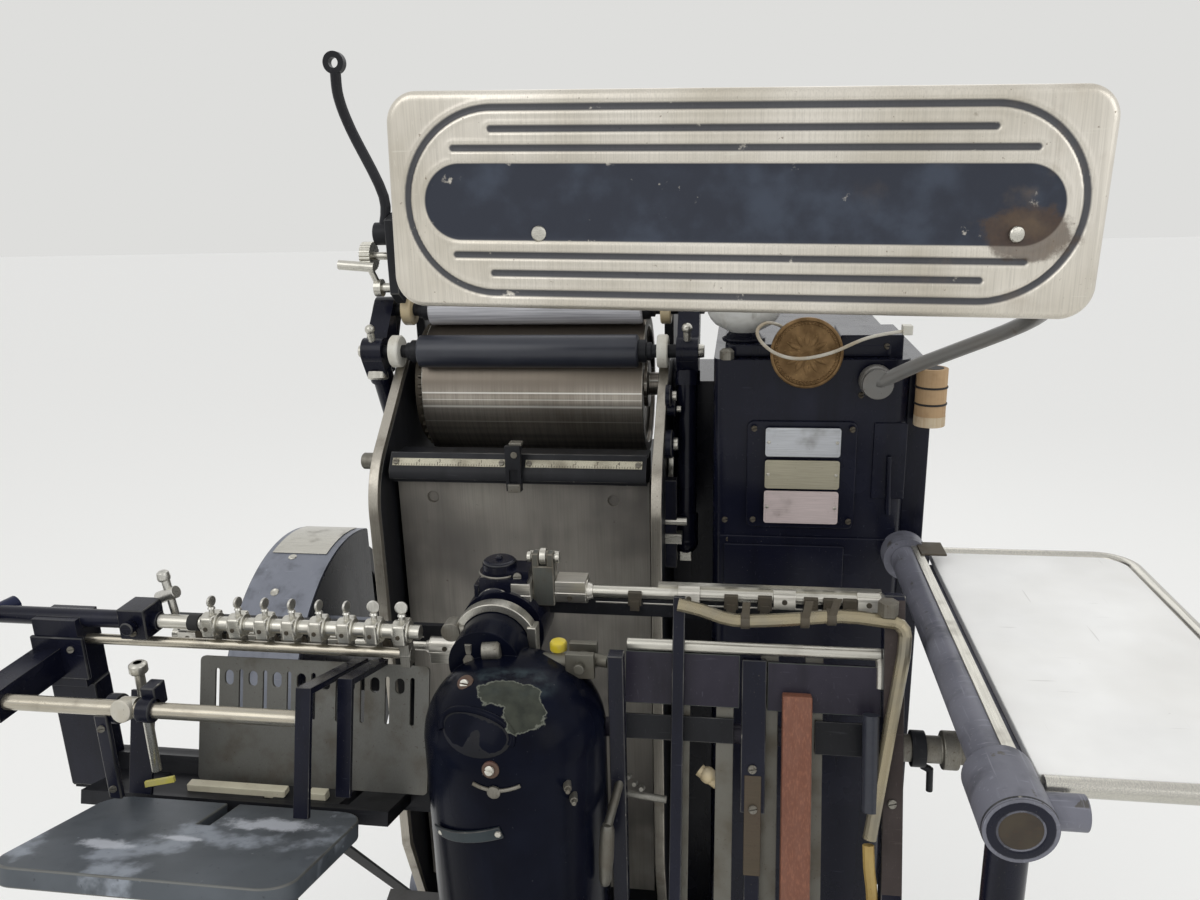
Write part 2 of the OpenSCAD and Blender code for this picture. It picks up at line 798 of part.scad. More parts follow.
module delivery_plates() {
    color([0.07, 0.07, 0.09]) {
        feed_frame() {
            translate([157, slat_y - 8, 113]) cube([105, 8, 48]);
            translate([287, slat_y - 8, 112]) cube([100, 8, 44]);
        }
        difference() {
            feed_frame() rod_x(110, 395, slat_y + 13, 84, 9);
            housing_column();
        }
    }
}

// Square upright between the dome housing and the delivery
upright_x = 147;
upright_top = 1092;
module delivery_posts() {
    color([0.08, 0.08, 0.1]) feed_frame() {
        translate([201, slat_y - 20, stack_foot]) cube([11, 9, 214 - stack_foot]);
        translate([264, slat_y - 12, 20]) cube([22, 12, 138]);
        translate([268, slat_y - 12, stack_foot]) cube([14, 10, 20 - stack_foot]);
        translate([387, slat_y - 20, stack_foot]) cube([18, 20, 222 - stack_foot]);
    }
    color([0.09, 0.09, 0.1]) translate([upright_x, dome_y, plinth_h])
        cube([14, 14, upright_top - plinth_h]);
}

module wood_batten() {
    color([0.5, 0.27, 0.15]) feed_frame() translate([300, slat_y - 24, stack_foot])
        cube([26, 16, 130 - stack_foot]);
}

module delivery_rod() {
    color([0.75, 0.74, 0.7]) feed_frame() rod_x(158, 387, slat_y - 5.5, slat_top - 1, 5.5);
}

module air_tube() {
    y = slat_y - 20 - air_r;
    wave = curve([[206, y, air_z + 8], [226, y, air_z + 4], [256, y, air_z - 4],
        [300, y, air_z - 2], [350, y, air_z + 3], [388, y, air_z]], 3);
    p = concat(wave,
        [for (a = [75 : -25 : 0]) [392 + air_bend * cos(a), y, air_z + air_bend * (sin(a) - 1)]],
        [[392 + air_bend * 0.9, y, air_z - 2.4 * air_bend], [air_end_x, y, air_end_z]]);
    color([0.55, 0.57, 0.55]) feed_frame() swept_tube(p, air_r, [0, 1, 0]);
}

module air_hose() {
    y = slat_y - 20 - air_r;
    top = [air_end_x, feed_y + y * cos(feed_tilt) + air_end_z * sin(feed_tilt),
        feed_z - y * sin(feed_tilt) + air_end_z * cos(feed_tilt)];
    low = [330, -150, plinth_h + 0.3];
    p = curve([top + [-1, -1.5, -5], top + [0, -6, -24], [381, -236, 850], [374, -216, 700],
        [350, -180, 400], low + [0, 0, 60], low + [0, 0, 20], low], 4);
    color([0.7, 0.6, 0.35]) swept_tube(p, 5, [0, 1, 0], 8);
}

module delivery_table() {
    color([0.25, 0.25, 0.25]) feed_frame() translate([150, -60, stack_foot - 16])
        cube([262, 190, 16]);
}

bar_front = -380;
bar_back = cab_y;
board_x = bar_x + bar_r + 10;
board_y = bar_back - 12 - board_d;
module table_bar() {
    color([0.07, 0.07, 0.09]) {
        rod_y(bar_x, bar_front, bar_back, bar_z, bar_r);
        rod_y(bar_x, bar_front - 30, bar_front + 16, bar_z, bar_r + 8);
        rod_x(bar_x, bar_x + bar_r + 30, bar_front - 7, bar_z, 12);
        rod_y(bar_x, bar_back - 26, bar_back, bar_z, bar_r + 8);
        translate([bar_x, board_y, bar_z - 12]) cube([bar_r + 34, board_d - 16, 8]);
    }
}

module lay_table() {
    color([0.92, 0.92, 0.9]) translate([board_x, board_y, bar_z - 4]) difference() {
        cube([board_w, board_d, 8]);
        translate([board_w - rail_bend, board_d - rail_bend, -1]) difference() {
            cube([rail_bend + 1, rail_bend + 1, 10]);
            cylinder(h = 10, r = rail_bend);
        }
    }
}

module table_rail() {
    r = rail_r;
    color([0.75, 0.75, 0.73]) {
        rod_x(bar_x + bar_r + 12, board_x + board_w + r, board_y - r, bar_z, r);
        rod_y(board_x + board_w + r, board_y - r, board_y + board_d - rail_bend, bar_z, r);
        translate([board_x + board_w - rail_bend, board_y + board_d - rail_bend, bar_z])
            rotate_extrude(angle = 90) translate([rail_bend + r, 0]) circle(r);
        rod_x(board_x + 6, board_x + board_w - rail_bend, board_y + board_d + r, bar_z, r);
        translate([board_x + board_w + r, board_y - r, bar_z]) sphere(r);
    }
}

module table_leg() {
    color([0.08, 0.08, 0.09]) translate([bar_x, bar_front - 7, 0]) {
        cylinder(h = bar_z - bar_r - 8, r = 14);
        cylinder(h = 12, r = 34);
    }
}

module cross_shaft() {
    color([0.4, 0.4, 0.4]) feed_frame() {
        rod_x(405, 462, slat_y - 1, 84, 12);
        rod_x(440, 454, slat_y - 1, 84, 17);
    }
}

module feed_table() {
    color([0.2, 0.21, 0.22]) feed_frame() {
        difference() {
            translate([feed_x - feed_w / 2, -70, -feed_t]) rounded_box(feed_w, feed_d, feed_t, 26);
            translate([-225, 42, -feed_t - 1]) cube([12, 78, feed_t + 2]);
        }
        translate([feed_x - 24, 10, -feed_t - 46]) cube([48, column_y - 10.3, 46 - 9]);
        translate([feed_x - 24, 10, -feed_t - 12]) cube([48, 70, 12]);
    }
}

module feed_column() {
    color([0.12, 0.12, 0.14]) {
        feed_frame() {
            translate([feed_x - 30, column_y, -500]) cube([60, 34, 486]);
            difference() {
                translate([-386, 101, -14]) cube([320, 64, 14]);
                for (x = [-330, -200, -120]) translate([x, 112, -15]) cube([10, 60, 16]);
            }
        }
        difference() {
            feed_frame() translate([-440, 165, -22]) cube([478, 24, 40]);
            housing_column();
        }
        difference() {
            translate([feed_x - 30, -325, 470]) cube([260, 30, 50]);
            housing_column();
        }
        translate([-440, -176, 885]) cube([48, 24, 125]);
    }
}

// Perforated plate that the sheets stand against
stop_x = -290;
stop_w = 246;
stop_h = 128;
stop_step = 26.2;
module feed_stop_plate() {
    color([0.42, 0.41, 0.38]) feed_frame() difference() {
        translate([stop_x, 150, 0]) cube([stop_w, 3, stop_h]);
        for (i = [0 : 8]) translate([stop_x + 17 + i * stop_step, 140, stop_h - 60])
            cube([4, 20, 48]);
        for (i = [0 : 7], z = [stop_h - 24, stop_h - 18])
            translate([stop_x + 19 + (i + 0.5) * stop_step, 160, z])
                rotate([90, 0, 0]) cylinder(h = 20, r = 4.6);
    }
}

module feed_side_guides() {
    color([0.07, 0.07, 0.09]) feed_frame() {
        for (g = [[-122, 20, 20], [-101, 60, 26]]) {
            translate([g[0], g[1], g[2]]) cube([14, 5, 124 - g[2]]);
            translate([g[0], g[1], 128]) cube([14, 150 - g[1], 6]);
            translate([g[0], g[1], 118]) cube([14, 5, 16]);
        }
    }
    color([0.7, 0.7, 0.68]) rod_x(-412, -118, -264.8, 1040, 7);
    color([0.3, 0.31, 0.32]) feed_frame() translate([-334, 101, 0]) cube([24, 4, 102]);
}

module sucker_bar() {
    color([0.72, 0.71, 0.68]) {
        rod_x(-310, -40, -170, 1080, 7);
        for (i = [0 : 7]) rod_x(-262 + i * 28, -246 + i * 28, -170, 1080, 11);
    }
}

module sucker_bracket() {
    color([0.07, 0.07, 0.09]) {
        rod_x(-520, -310, -170, 1080, 9);
        translate([-440, -186, 1010]) cube([48, 34, 74]);
        translate([-440, -276, 1024]) cube([28, 100, 30]);
    }
    color([0.66, 0.65, 0.6]) rod_x(-392, -57, -172, 1058, 5);
}

module flywheel() {
    color([0.25, 0.25, 0.27]) {
        difference() {
            rod_x(fly_guard_x - 70, fly_guard_x - 20, fly_y, fly_z, wheel_r);
            for (s = [0, 1]) rod_to([fly_guard_x - 71 + 52 * s, fly_y, fly_z],
                [fly_guard_x - 59 + 28 * s, fly_y, fly_z], wheel_r - 32);
            for (i = [0 : 4]) translate([0, fly_y, fly_z]) rotate([72 * i, 0, 0])
                rod_x(fly_guard_x - 80, fly_guard_x - 10, 0, 108, 38);
        }
        rod_x(fly_guard_x - 76, fly_guard_x - 14, fly_y, fly_z, 48);
        rod_x(fly_guard_x - 90, -cheek_out, fly_y, fly_z, 22);
    }
}

module flywheel_guard() {
    color([0.42, 0.44, 0.48]) {
        difference() {
            rod_x(fly_guard_x - fly_guard_w, fly_guard_x, fly_y, fly_z, fly_guard_r);
            rod_x(fly_guard_x - fly_guard_w - 1, fly_guard_x - 4, fly_y, fly_z, fly_guard_r - 4);
            rod_x(fly_guard_x - fly_guard_w - 1, fly_guard_x + 1, fly_y, fly_z, 26);
            translate([fly_guard_x - fly_guard_w - 1, fly_y + 70, fly_z - 300])
                cube([fly_guard_w + 2, 300, 600]);
            translate([fly_guard_x - fly_guard_w - 1, fly_y - 300, fly_z - 310])
                cube([fly_guard_w + 2, 600, 200]);
        }
        for (q = [[-110, -70], [-90, 130], [40, 60]])
            rod_x(fly_guard_x, -cheek_out, fly_y + q[0], fly_z + q[1], 9);
    }
}

module motor() {
    color([0.25, 0.27, 0.3]) {
        rod_x(-236, -36, motor_y, motor_z, motor_r - 6);
        for (i = [0 : 7]) rod_x(-226 + i * 17, -218 + i * 17, motor_y, motor_z, motor_r);
        rod_x(-80, -36, motor_y, motor_z, motor_r);
        translate([-176, motor_y - 34, motor_z + motor_r - 12]) cube([76, 68, 34]);
        translate([-200, motor_y - 60, plinth_h]) cube([130, 120, 30]);
        rod_x(belt_x - 2, -236, motor_y, motor_z, 12);
        rod_x(belt_x - 2, belt_x + 32, motor_y, motor_z, pulley_r);
    }
}

module belt_line(out) {
    hull() {
        translate([fly_y, fly_z]) circle(wheel_r + belt_seat + out, $fn = 96);
        translate([motor_y, motor_z]) circle(pulley_r + belt_seat + out, $fn = 48);
    }
}

module drive_belt() {
    color([0.05, 0.05, 0.05]) side_plate(belt_x + 2, belt_w) difference() {
        belt_line(belt_t);
        belt_line(0);
    }
}

// Card tube beside the cabinet, in front of its side panel
card_r = 16;
module cord_tube() {
    color([0.72, 0.6, 0.42]) translate([cab_x + cab_w + 21, cab_y + 19.8 - card_r, 1229])
        cylinder(h = 62, r = card_r);
}

module housing_column() {
    translate([dome_x, dome_y, plinth_h]) cylinder(h = dome_top - 60 - plinth_h, r = dome_r);
}

base_frame();
main_body();
bed_plate();
left_side_frame();
right_side_frame();
roller_tracks();
chase_clamp_bar();
chase_clamp_lug();
ink_drum();
drum_gear();
lower_form_roller();
lower_trucks();
upper_form_roller();
upper_trucks();
left_roller_arm();
right_roller_arm();
ink_frames();
ink_fountain();
rider_rollers();
fountain_knob();
fountain_crank();
throw_off_lever();
gear_cabinet();
cabinet_door();
cabinet_cap();
cabinet_side_panel();
oil_cup();
medallion();
guard_plate();
guard_arm();
gripper_housing();
gripper_hub();
gripper_arms();
gripper_bars();
platen();
delivery_slats();
delivery_plates();
delivery_posts();
wood_batten();
delivery_rod();
air_tube();
air_hose();
delivery_table();
table_bar();
lay_table();
table_rail();
table_leg();
cross_shaft();
feed_table();
feed_column();
feed_stop_plate();
feed_side_guides();
sucker_bar();
sucker_bracket();
flywheel();
flywheel_guard();
motor();
drive_belt();
cord_tube();
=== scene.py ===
"""Looks of an automatic platen printing press with rotating grippers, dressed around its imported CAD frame.

Every length that a class holds is in millimetres in the press's own frame, and becomes metres when a mesh is made.
"""

from __future__ import annotations

import json
import logging
import math
from dataclasses import dataclass, replace
from enum import Enum

import bmesh
import bpy
from mathutils import Matrix, Vector

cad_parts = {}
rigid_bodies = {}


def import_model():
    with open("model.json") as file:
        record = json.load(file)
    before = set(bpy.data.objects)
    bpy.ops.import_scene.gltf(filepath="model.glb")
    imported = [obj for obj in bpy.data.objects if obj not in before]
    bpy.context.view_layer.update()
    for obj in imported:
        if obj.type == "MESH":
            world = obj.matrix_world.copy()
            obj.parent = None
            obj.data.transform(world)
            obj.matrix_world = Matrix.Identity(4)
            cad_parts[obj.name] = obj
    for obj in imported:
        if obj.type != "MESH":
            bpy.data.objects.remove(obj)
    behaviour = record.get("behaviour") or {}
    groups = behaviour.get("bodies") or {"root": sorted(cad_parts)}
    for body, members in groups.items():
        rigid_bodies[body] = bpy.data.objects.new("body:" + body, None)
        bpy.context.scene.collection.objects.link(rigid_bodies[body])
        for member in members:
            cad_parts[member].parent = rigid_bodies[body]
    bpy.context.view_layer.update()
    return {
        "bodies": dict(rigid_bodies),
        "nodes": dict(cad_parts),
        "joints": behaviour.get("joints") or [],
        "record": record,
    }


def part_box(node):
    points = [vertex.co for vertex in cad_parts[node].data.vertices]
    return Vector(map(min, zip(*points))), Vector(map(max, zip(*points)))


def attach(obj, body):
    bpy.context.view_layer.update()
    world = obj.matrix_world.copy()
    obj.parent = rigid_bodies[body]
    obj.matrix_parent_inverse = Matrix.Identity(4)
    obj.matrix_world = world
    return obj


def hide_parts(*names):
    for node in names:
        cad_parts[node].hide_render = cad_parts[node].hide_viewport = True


LOG = logging.getLogger("press")
MM = 0.001
Point = tuple[float, float, float]
Colour = tuple[float, float, float]


class Axis(Enum):
    """The three directions of the press: right, back and up."""

    X = (1.0, 0.0, 0.0)
    Y = (0.0, 1.0, 0.0)
    Z = (0.0, 0.0, 1.0)


RIGHT, BACK, UP = (axis.value for axis in Axis)
LEFT, FRONT, DOWN = (-1.0, 0.0, 0.0), (0.0, -1.0, 0.0), (0.0, 0.0, -1.0)
ORIGIN = (0.0, 0.0, 0.0)


class Pattern(Enum):
    """How a layer of a finish spreads over the surface."""

    CLOUDS = "broad soft drifts"
    SPECKS = "small grains"
    CHIPS = "islands with a hard edge"
    SCRATCHES = "fine crossing lines"
    BRUSHED = "fine lines along one direction"
    STREAKS = "drips that run down"
    TURNED = "rings round an axis"


# Shader and geometry node graphs


class Value:
    """A socket that can stand in a sum, so that shader maths reads as Python."""

    def __init__(self, graph: Graph, socket: bpy.types.NodeSocket) -> None:
        """Keeps the graph that the socket belongs to."""
        self.graph = graph
        self.socket = socket

    def _math(self, operation: str, first: object, second: object = 0.0) -> Value:
        """Adds one Math node and returns its result."""
        node = self.graph.node("ShaderNodeMath", {"operation": operation}, {0: first, 1: second})
        return Value(self.graph, node.outputs[0])

    def __add__(self, other: object) -> Value:
        """Sum."""
        return self._math("ADD", self, other)

    __radd__ = __add__

    def __sub__(self, other: object) -> Value:
        """Difference."""
        return self._math("SUBTRACT", self, other)

    def __rsub__(self, other: object) -> Value:
        """Difference with the value on the right."""
        return self._math("SUBTRACT", other, self)

    def __mul__(self, other: object) -> Value:
        """Product."""
        return self._math("MULTIPLY", self, other)

    __rmul__ = __mul__

    def power(self, other: object) -> Value:
        """The value raised to another."""
        return self._math("POWER", self, other)

    def most(self, other: object) -> Value:
        """The larger of two values."""
        return self._math("MAXIMUM", self, other)

    def least(self, other: object) -> Value:
        """The smaller of two values."""
        return self._math("MINIMUM", self, other)

    def size(self) -> Value:
        """The value without its sign."""
        return self._math("ABSOLUTE", self)

    def step(self, low: float, high: float) -> Value:
        """Runs smoothly from 0 at low to 1 at high."""
        node = self.graph.node(
            "ShaderNodeMapRange",
            {"interpolation_type": "SMOOTHSTEP"},
            {"Value": self, "From Min": low, "From Max": high},
        )
        return Value(self.graph, node.outputs["Result"])


class Graph:
    """Adds nodes to one tree and links them."""

    def __init__(self, tree: bpy.types.NodeTree) -> None:
        """Keeps the tree."""
        self.tree = tree

    def node(self, kind: str, settings: dict | None = None, inputs: dict | None = None) -> bpy.types.Node:
        """Adds a node of any kind.

        Args:
            kind: Blender's name of the node's type.
            settings: Properties that are set before its sockets.
            inputs: Values or links by the socket's name or number.

        Returns:
            The new node.
        """
        node = self.tree.nodes.new(kind)
        for key, value in (settings or {}).items():
            setattr(node, key, value)
        for key, value in (inputs or {}).items():
            socket = node.inputs[key]
            if isinstance(value, Value):
                self.tree.links.new(value.socket, socket)
            elif isinstance(value, bpy.types.NodeSocket):
                self.tree.links.new(value, socket)
            else:
                socket.default_value = value
        return node

    def place(self, scale: Point = (1.0, 1.0, 1.0), shift: Point = ORIGIN) -> bpy.types.NodeSocket:
        """Object coordinates in metres, stretched and shifted."""
        coords = self.node("ShaderNodeTexCoord").outputs["Object"]
        mapping = self.node("ShaderNodeMapping", None, {"Vector": coords, "Scale": scale, "Location": shift})
        return mapping.outputs["Vector"]

    def noise(self, where: bpy.types.NodeSocket, scale: float, detail: float = 3.0, rough: float = 0.55) -> Value:
        """Noise between 0 and 1 at a number of cells to the metre."""
        inputs = {"Vector": where, "Scale": scale, "Detail": detail, "Roughness": rough}
        return Value(self, self.node("ShaderNodeTexNoise", None, inputs).outputs["Fac"])

    def axes(self) -> tuple[Value, Value, Value]:
        """Object coordinates as three values."""
        coords = self.node("ShaderNodeTexCoord").outputs["Object"]
        parts = self.node("ShaderNodeSeparateXYZ", None, {0: coords})
        return tuple(Value(self, parts.outputs[i]) for i in range(3))

    def far(self, axes: tuple[Value, ...], centre: tuple[float, ...], reach: tuple[float, ...]) -> Value:
        """Distance from a centre in millimetres, in shares of a reach along each axis."""
        parts = [(c - at * MM) * (1.0 / (r * MM)) for c, at, r in zip(axes, centre, reach)]
        total = parts[0] * parts[0]
        for part in parts[1:]:
            total = total + part * part
        return total.power(0.5)

    def mix(self, factor: Value, first: object, second: object) -> bpy.types.NodeSocket:
        """Mixes two colours by a factor."""
        node = self.node("ShaderNodeMix", {"data_type": "RGBA"}, {0: factor, 6: first, 7: second})
        return node.outputs[2]


def rgba(colour: Colour) -> tuple[float, float, float, float]:
    """A colour written as screen values from 0 to 255, in linear light."""
    parts = (c / 255.0 for c in colour)
    linear = [c / 12.92 if c <= 0.04045 else ((c + 0.055) / 1.055) ** 2.4 for c in parts]
    return (linear[0], linear[1], linear[2], 1.0)


# Finishes


@dataclass(frozen=True)
class Layer:
    """One thing that lies over a finish: dirt, wear, rust, dust or a tool's marks."""

    pattern: Pattern
    colour: Colour
    scale: float
    cover: float
    soft: float = 0.1
    strength: float = 1.0
    rough: float | None = None
    metal: float | None = None
    height: float = 0.0
    along: Axis = Axis.X
    seed: float = 0.0

    def mask(self, graph: Graph) -> Value:
        """Where the layer lies, from 0 to 1.

        Args:
            graph: The material's graph.

        Returns:
            The layer's share at each point.
        """
        shift = (self.seed, self.seed * 0.7, self.seed * 1.3)
        if self.pattern is Pattern.BRUSHED:
            stretch = tuple(0.02 if a else 1.0 for a in self.along.value)
            spread = graph.noise(graph.place(stretch, shift), self.scale, 2.0)
        elif self.pattern is Pattern.TURNED:
            stretch = tuple(1.0 if a else 0.03 for a in self.along.value)
            spread = graph.noise(graph.place(stretch, shift), self.scale, 3.0)
        elif self.pattern is Pattern.STREAKS:
            spread = graph.noise(graph.place((1.0, 1.0, 0.12), shift), self.scale, 4.0)
        elif self.pattern is Pattern.SCRATCHES:
            one = graph.noise(graph.place((1.0, 0.04, 0.3), shift), self.scale, 1.0)
            two = graph.noise(graph.place((0.06, 1.0, 0.8), shift), self.scale * 0.8, 1.0)
            spread = one.most(two)
        else:
            detail = {Pattern.CLOUDS: 3.0, Pattern.SPECKS: 2.0, Pattern.CHIPS: 6.0}[self.pattern]
            spread = graph.noise(graph.place(shift=shift), self.scale, detail)
        edge = 0.5 + (0.5 - self.cover) * 0.62
        return spread.step(edge - self.soft / 2, edge + self.soft / 2) * self.strength


@dataclass(frozen=True)
class Finish:
    """A procedural finish: a base and the layers on it, in order."""

    name: str
    slot: str
    colour: Colour
    rough: float
    metal: float = 0.0
    coat: float = 0.0
    grain: float = 0.0
    grain_scale: float = 900.0
    layers: tuple[Layer, ...] = ()
    drift: float = 0.14
    specular: float = 0.5

    def material(self) -> bpy.types.Material:
        """The Blender material, made on first use.

        Returns:
            The material of this finish. Its name isn't the slot's, which the loader's own material bears.
        """
        label = f"{self.name}_look"
        found = bpy.data.materials.get(label)
        if found:
            return found
        made = bpy.data.materials.new(label)
        made.use_nodes = True
        made.node_tree.nodes.clear()
        graph = Graph(made.node_tree)
        colour, rough, metal, height = self.surface(graph)
        shader = graph.node(
            "ShaderNodeBsdfPrincipled", None, {"Base Color": colour, "Roughness": rough, "Metallic": metal}
        )
        shader.inputs["Coat Weight"].default_value = self.coat
        shader.inputs["Coat Roughness"].default_value = 0.12
        shader.inputs["Specular IOR Level"].default_value = self.specular
        bump = graph.node("ShaderNodeBump", None, {"Height": height, "Strength": 1.0, "Distance": 0.001})
        made.node_tree.links.new(bump.outputs[0], shader.inputs["Normal"])
        output = graph.node("ShaderNodeOutputMaterial")
        made.node_tree.links.new(shader.outputs[0], output.inputs["Surface"])
        made.diffuse_color = rgba(self.colour)
        return made

    def surface(self, graph: Graph) -> tuple[object, object, object, Value]:
        """Colour, roughness, metal and height over the surface.

        Args:
            graph: The material's graph.

        Returns:
            The four, as values or sockets.
        """
        drift = graph.noise(graph.place(), 9.0, 4.0)
        dark = tuple(c * (1.0 - self.drift) for c in self.colour)
        colour: object = graph.mix(drift, rgba(dark), rgba(self.colour))
        rough: object = drift * 0.1 + (self.rough - 0.05)
        metal: object = self.metal
        height = graph.noise(graph.place(), self.grain_scale, 2.0) * self.grain
        for layer in self.layers:
            mask = layer.mask(graph)
            colour = graph.mix(mask, colour, rgba(layer.colour))
            if layer.rough is not None:
                rough = rough + mask * (layer.rough - self.rough)
            if layer.metal is not None:
                metal = mask * (layer.metal - self.metal) + metal
            if layer.height:
                height = height + mask * layer.height
        return colour, rough, metal, height


def enamelled(
    name: str, slot: str, colour: Colour, rough: float = 0.3, wear: float = 0.3, dust: float = 0.4
) -> Finish:
    """Old enamel on cast iron, with dust, chips and greasy drifts.

    Args:
        name: The finish's name.
        slot: The record's slot.
        colour: The enamel's colour.
        rough: Its roughness.
        wear: How much bare iron shows through.
        dust: How much dust lies on it.

    Returns:
        The finish.
    """
    return Finish(
        name,
        slot,
        colour,
        rough,
        coat=0.05,
        grain=0.05,
        grain_scale=260.0,
        specular=0.2,
        layers=(
            Layer(Pattern.CLOUDS, tuple(c + 26.0 for c in colour), 14.0, dust, 0.5, 0.45, rough + 0.25),
            Layer(Pattern.STREAKS, tuple(c * 0.5 for c in colour), 40.0, 0.3, 0.3, 0.6, rough + 0.1, seed=3.0),
            Layer(Pattern.SPECKS, (112, 108, 100), 700.0, 0.11, 0.08, 0.45, 0.8, seed=5.0),
            Layer(Pattern.CHIPS, (88, 85, 80), 60.0, wear * 0.3, 0.03, 0.85, 0.42, 0.6, -0.05, seed=9.0),
            Layer(Pattern.SCRATCHES, tuple(c + 34.0 for c in colour), 600.0, wear * 0.25, 0.1, 0.4, 0.5, seed=2.0),
        ),
    )


def bright(
    name: str, slot: str, colour: Colour, rough: float = 0.28, along: Axis = Axis.X, stain: float = 0.3
) -> Finish:
    """Bright machined or nickelled steel with tool marks along one direction, oil stains and first rust.

    Args:
        name: The finish's name.
        slot: The record's slot.
        colour: The metal's colour.
        rough: Its roughness.
        along: The direction of the tool's marks.
        stain: How much oil and tarnish lies on it.

    Returns:
        The finish.
    """
    return Finish(
        name,
        slot,
        colour,
        rough,
        metal=0.9,
        grain=0.012,
        layers=(
            Layer(
                Pattern.BRUSHED,
                tuple(c * 0.72 for c in colour),
                1400.0,
                0.5,
                0.5,
                0.55,
                rough + 0.1,
                height=0.012,
                along=along,
            ),
            Layer(Pattern.CLOUDS, (88, 80, 66), 30.0, stain, 0.3, 0.6, rough + 0.2, 0.6, seed=4.0),
            Layer(Pattern.SPECKS, (70, 54, 40), 420.0, stain * 0.5, 0.1, 0.6, 0.6, 0.3, 0.01, seed=7.0),
        ),
    )


@dataclass(frozen=True)
class Finishes:
    """All finishes of the press."""

    black: Finish = enamelled("black_enamel", "cabinet_black", (16, 18, 33), 0.24, 0.2, 0.25)
    iron: Finish = enamelled("black_cast_iron", "black_iron", (24, 25, 29), 0.42, 0.4, 0.4)
    steel: Finish = bright("bright_steel_x", "bright_steel", (222, 219, 208), 0.26, stain=0.2)
    steel_y: Finish = bright("bright_steel_y", "bright_steel", (214, 211, 200), 0.26, Axis.Y, 0.2)
    steel_z: Finish = bright("bright_steel_z", "bright_steel", (224, 222, 214), 0.26, Axis.Z, 0.2)
    drum: Finish = replace(
        bright("drum_steel", "drum_steel", (112, 109, 104), 0.36, Axis.X, 0.1),
        layers=(
            Layer(Pattern.TURNED, (138, 132, 124), 420.0, 0.5, 0.4, 0.5, 0.42, height=0.006, along=Axis.X),
            Layer(Pattern.BRUSHED, (196, 190, 178), 200.0, 0.14, 0.14, 0.6, 0.3, along=Axis.X, seed=3.0),
            Layer(Pattern.BRUSHED, (112, 107, 100), 90.0, 0.4, 0.3, 0.5, 0.4, along=Axis.X, seed=9.0),
            Layer(Pattern.CLOUDS, (112, 98, 80), 10.0, 0.35, 0.4, 0.45, 0.3, seed=6.0),
            Layer(Pattern.SPECKS, (84, 72, 58), 320.0, 0.05, 0.08, 0.5, 0.5, 0.4, seed=7.0),
        ),
    )
    gear: Finish = bright("gear_steel", "gear_steel", (104, 99, 90), 0.48, Axis.X, 0.55)
    worn: Finish = bright("worn_steel", "worn_steel", (150, 147, 138), 0.42, Axis.Z, 0.45)
    rail: Finish = bright("rail_steel", "worn_steel", (196, 190, 178), 0.3, Axis.Z, 0.3)
    zinc: Finish = bright("grey_zinc", "grey_zinc", (160, 158, 150), 0.46, Axis.Z, 0.35)
    chrome: Finish = bright("chrome_tube", "chrome_tube", (216, 214, 210), 0.16, Axis.Y, 0.1)
    # Finish of the rounded edges: worn bare metal, and pale clouds and chips that are also painted highlights where
    # edges catch the light.
    edge: Finish = Finish(
        "edge_wear_and_painted_highlight",
        "black_iron",
        (38, 39, 43),
        0.4,
        metal=0.2,
        layers=(
            Layer(Pattern.CLOUDS, (96, 95, 92), 26.0, 0.42, 0.3, 0.8, 0.4, 0.5, seed=3.0),
            Layer(Pattern.CHIPS, (168, 165, 156), 70.0, 0.22, 0.08, 0.8, 0.32, 0.8, seed=5.0),
        ),
    )


FIN = Finishes()

RUBBER = Finish(
    "roller_rubber",
    "roller_rubber",
    (42, 45, 55),
    0.3,
    grain=0.02,
    layers=(
        Layer(Pattern.BRUSHED, (50, 53, 62), 500.0, 0.4, 0.5, 0.5, 0.4, along=Axis.X),
        Layer(Pattern.CLOUDS, (58, 61, 69), 24.0, 0.35, 0.4, 0.4, 0.5, seed=2.0),
        Layer(Pattern.SPECKS, (120, 118, 112), 600.0, 0.06, 0.08, 0.6, 0.8, seed=3.0),
    ),
)
NYLON = Finish(
    "white_nylon",
    "white_nylon",
    (226, 224, 214),
    0.45,
    layers=(
        Layer(Pattern.CLOUDS, (176, 168, 148), 60.0, 0.4, 0.4, 0.5, 0.5),
        Layer(Pattern.SPECKS, (96, 90, 80), 500.0, 0.16, 0.1, 0.5, 0.6, seed=4.0),
    ),
)
CREAM = replace(NYLON, name="cream_nylon", slot="cream_nylon", colour=(206, 188, 150))
ENAMEL = Finish(
    "white_enamel",
    "white_enamel",
    (216, 216, 212),
    0.25,
    coat=0.4,
    grain=0.02,
    layers=(
        Layer(Pattern.CLOUDS, (150, 144, 130), 40.0, 0.35, 0.3, 0.45, 0.5),
        Layer(Pattern.STREAKS, (96, 88, 74), 90.0, 0.25, 0.2, 0.6, 0.5, seed=5.0),
        Layer(Pattern.CHIPS, (40, 38, 38), 80.0, 0.15, 0.03, 0.9, 0.5, height=-0.08, seed=6.0),
    ),
)
BRONZE = Finish(
    "bronze",
    "bronze",
    (140, 112, 76),
    0.44,
    metal=0.75,
    grain=0.03,
    layers=(
        Layer(Pattern.CLOUDS, (84, 62, 36), 70.0, 0.5, 0.4, 0.7, 0.55),
        Layer(Pattern.SPECKS, (188, 158, 104), 500.0, 0.2, 0.15, 0.5, 0.35, seed=3.0),
    ),
)
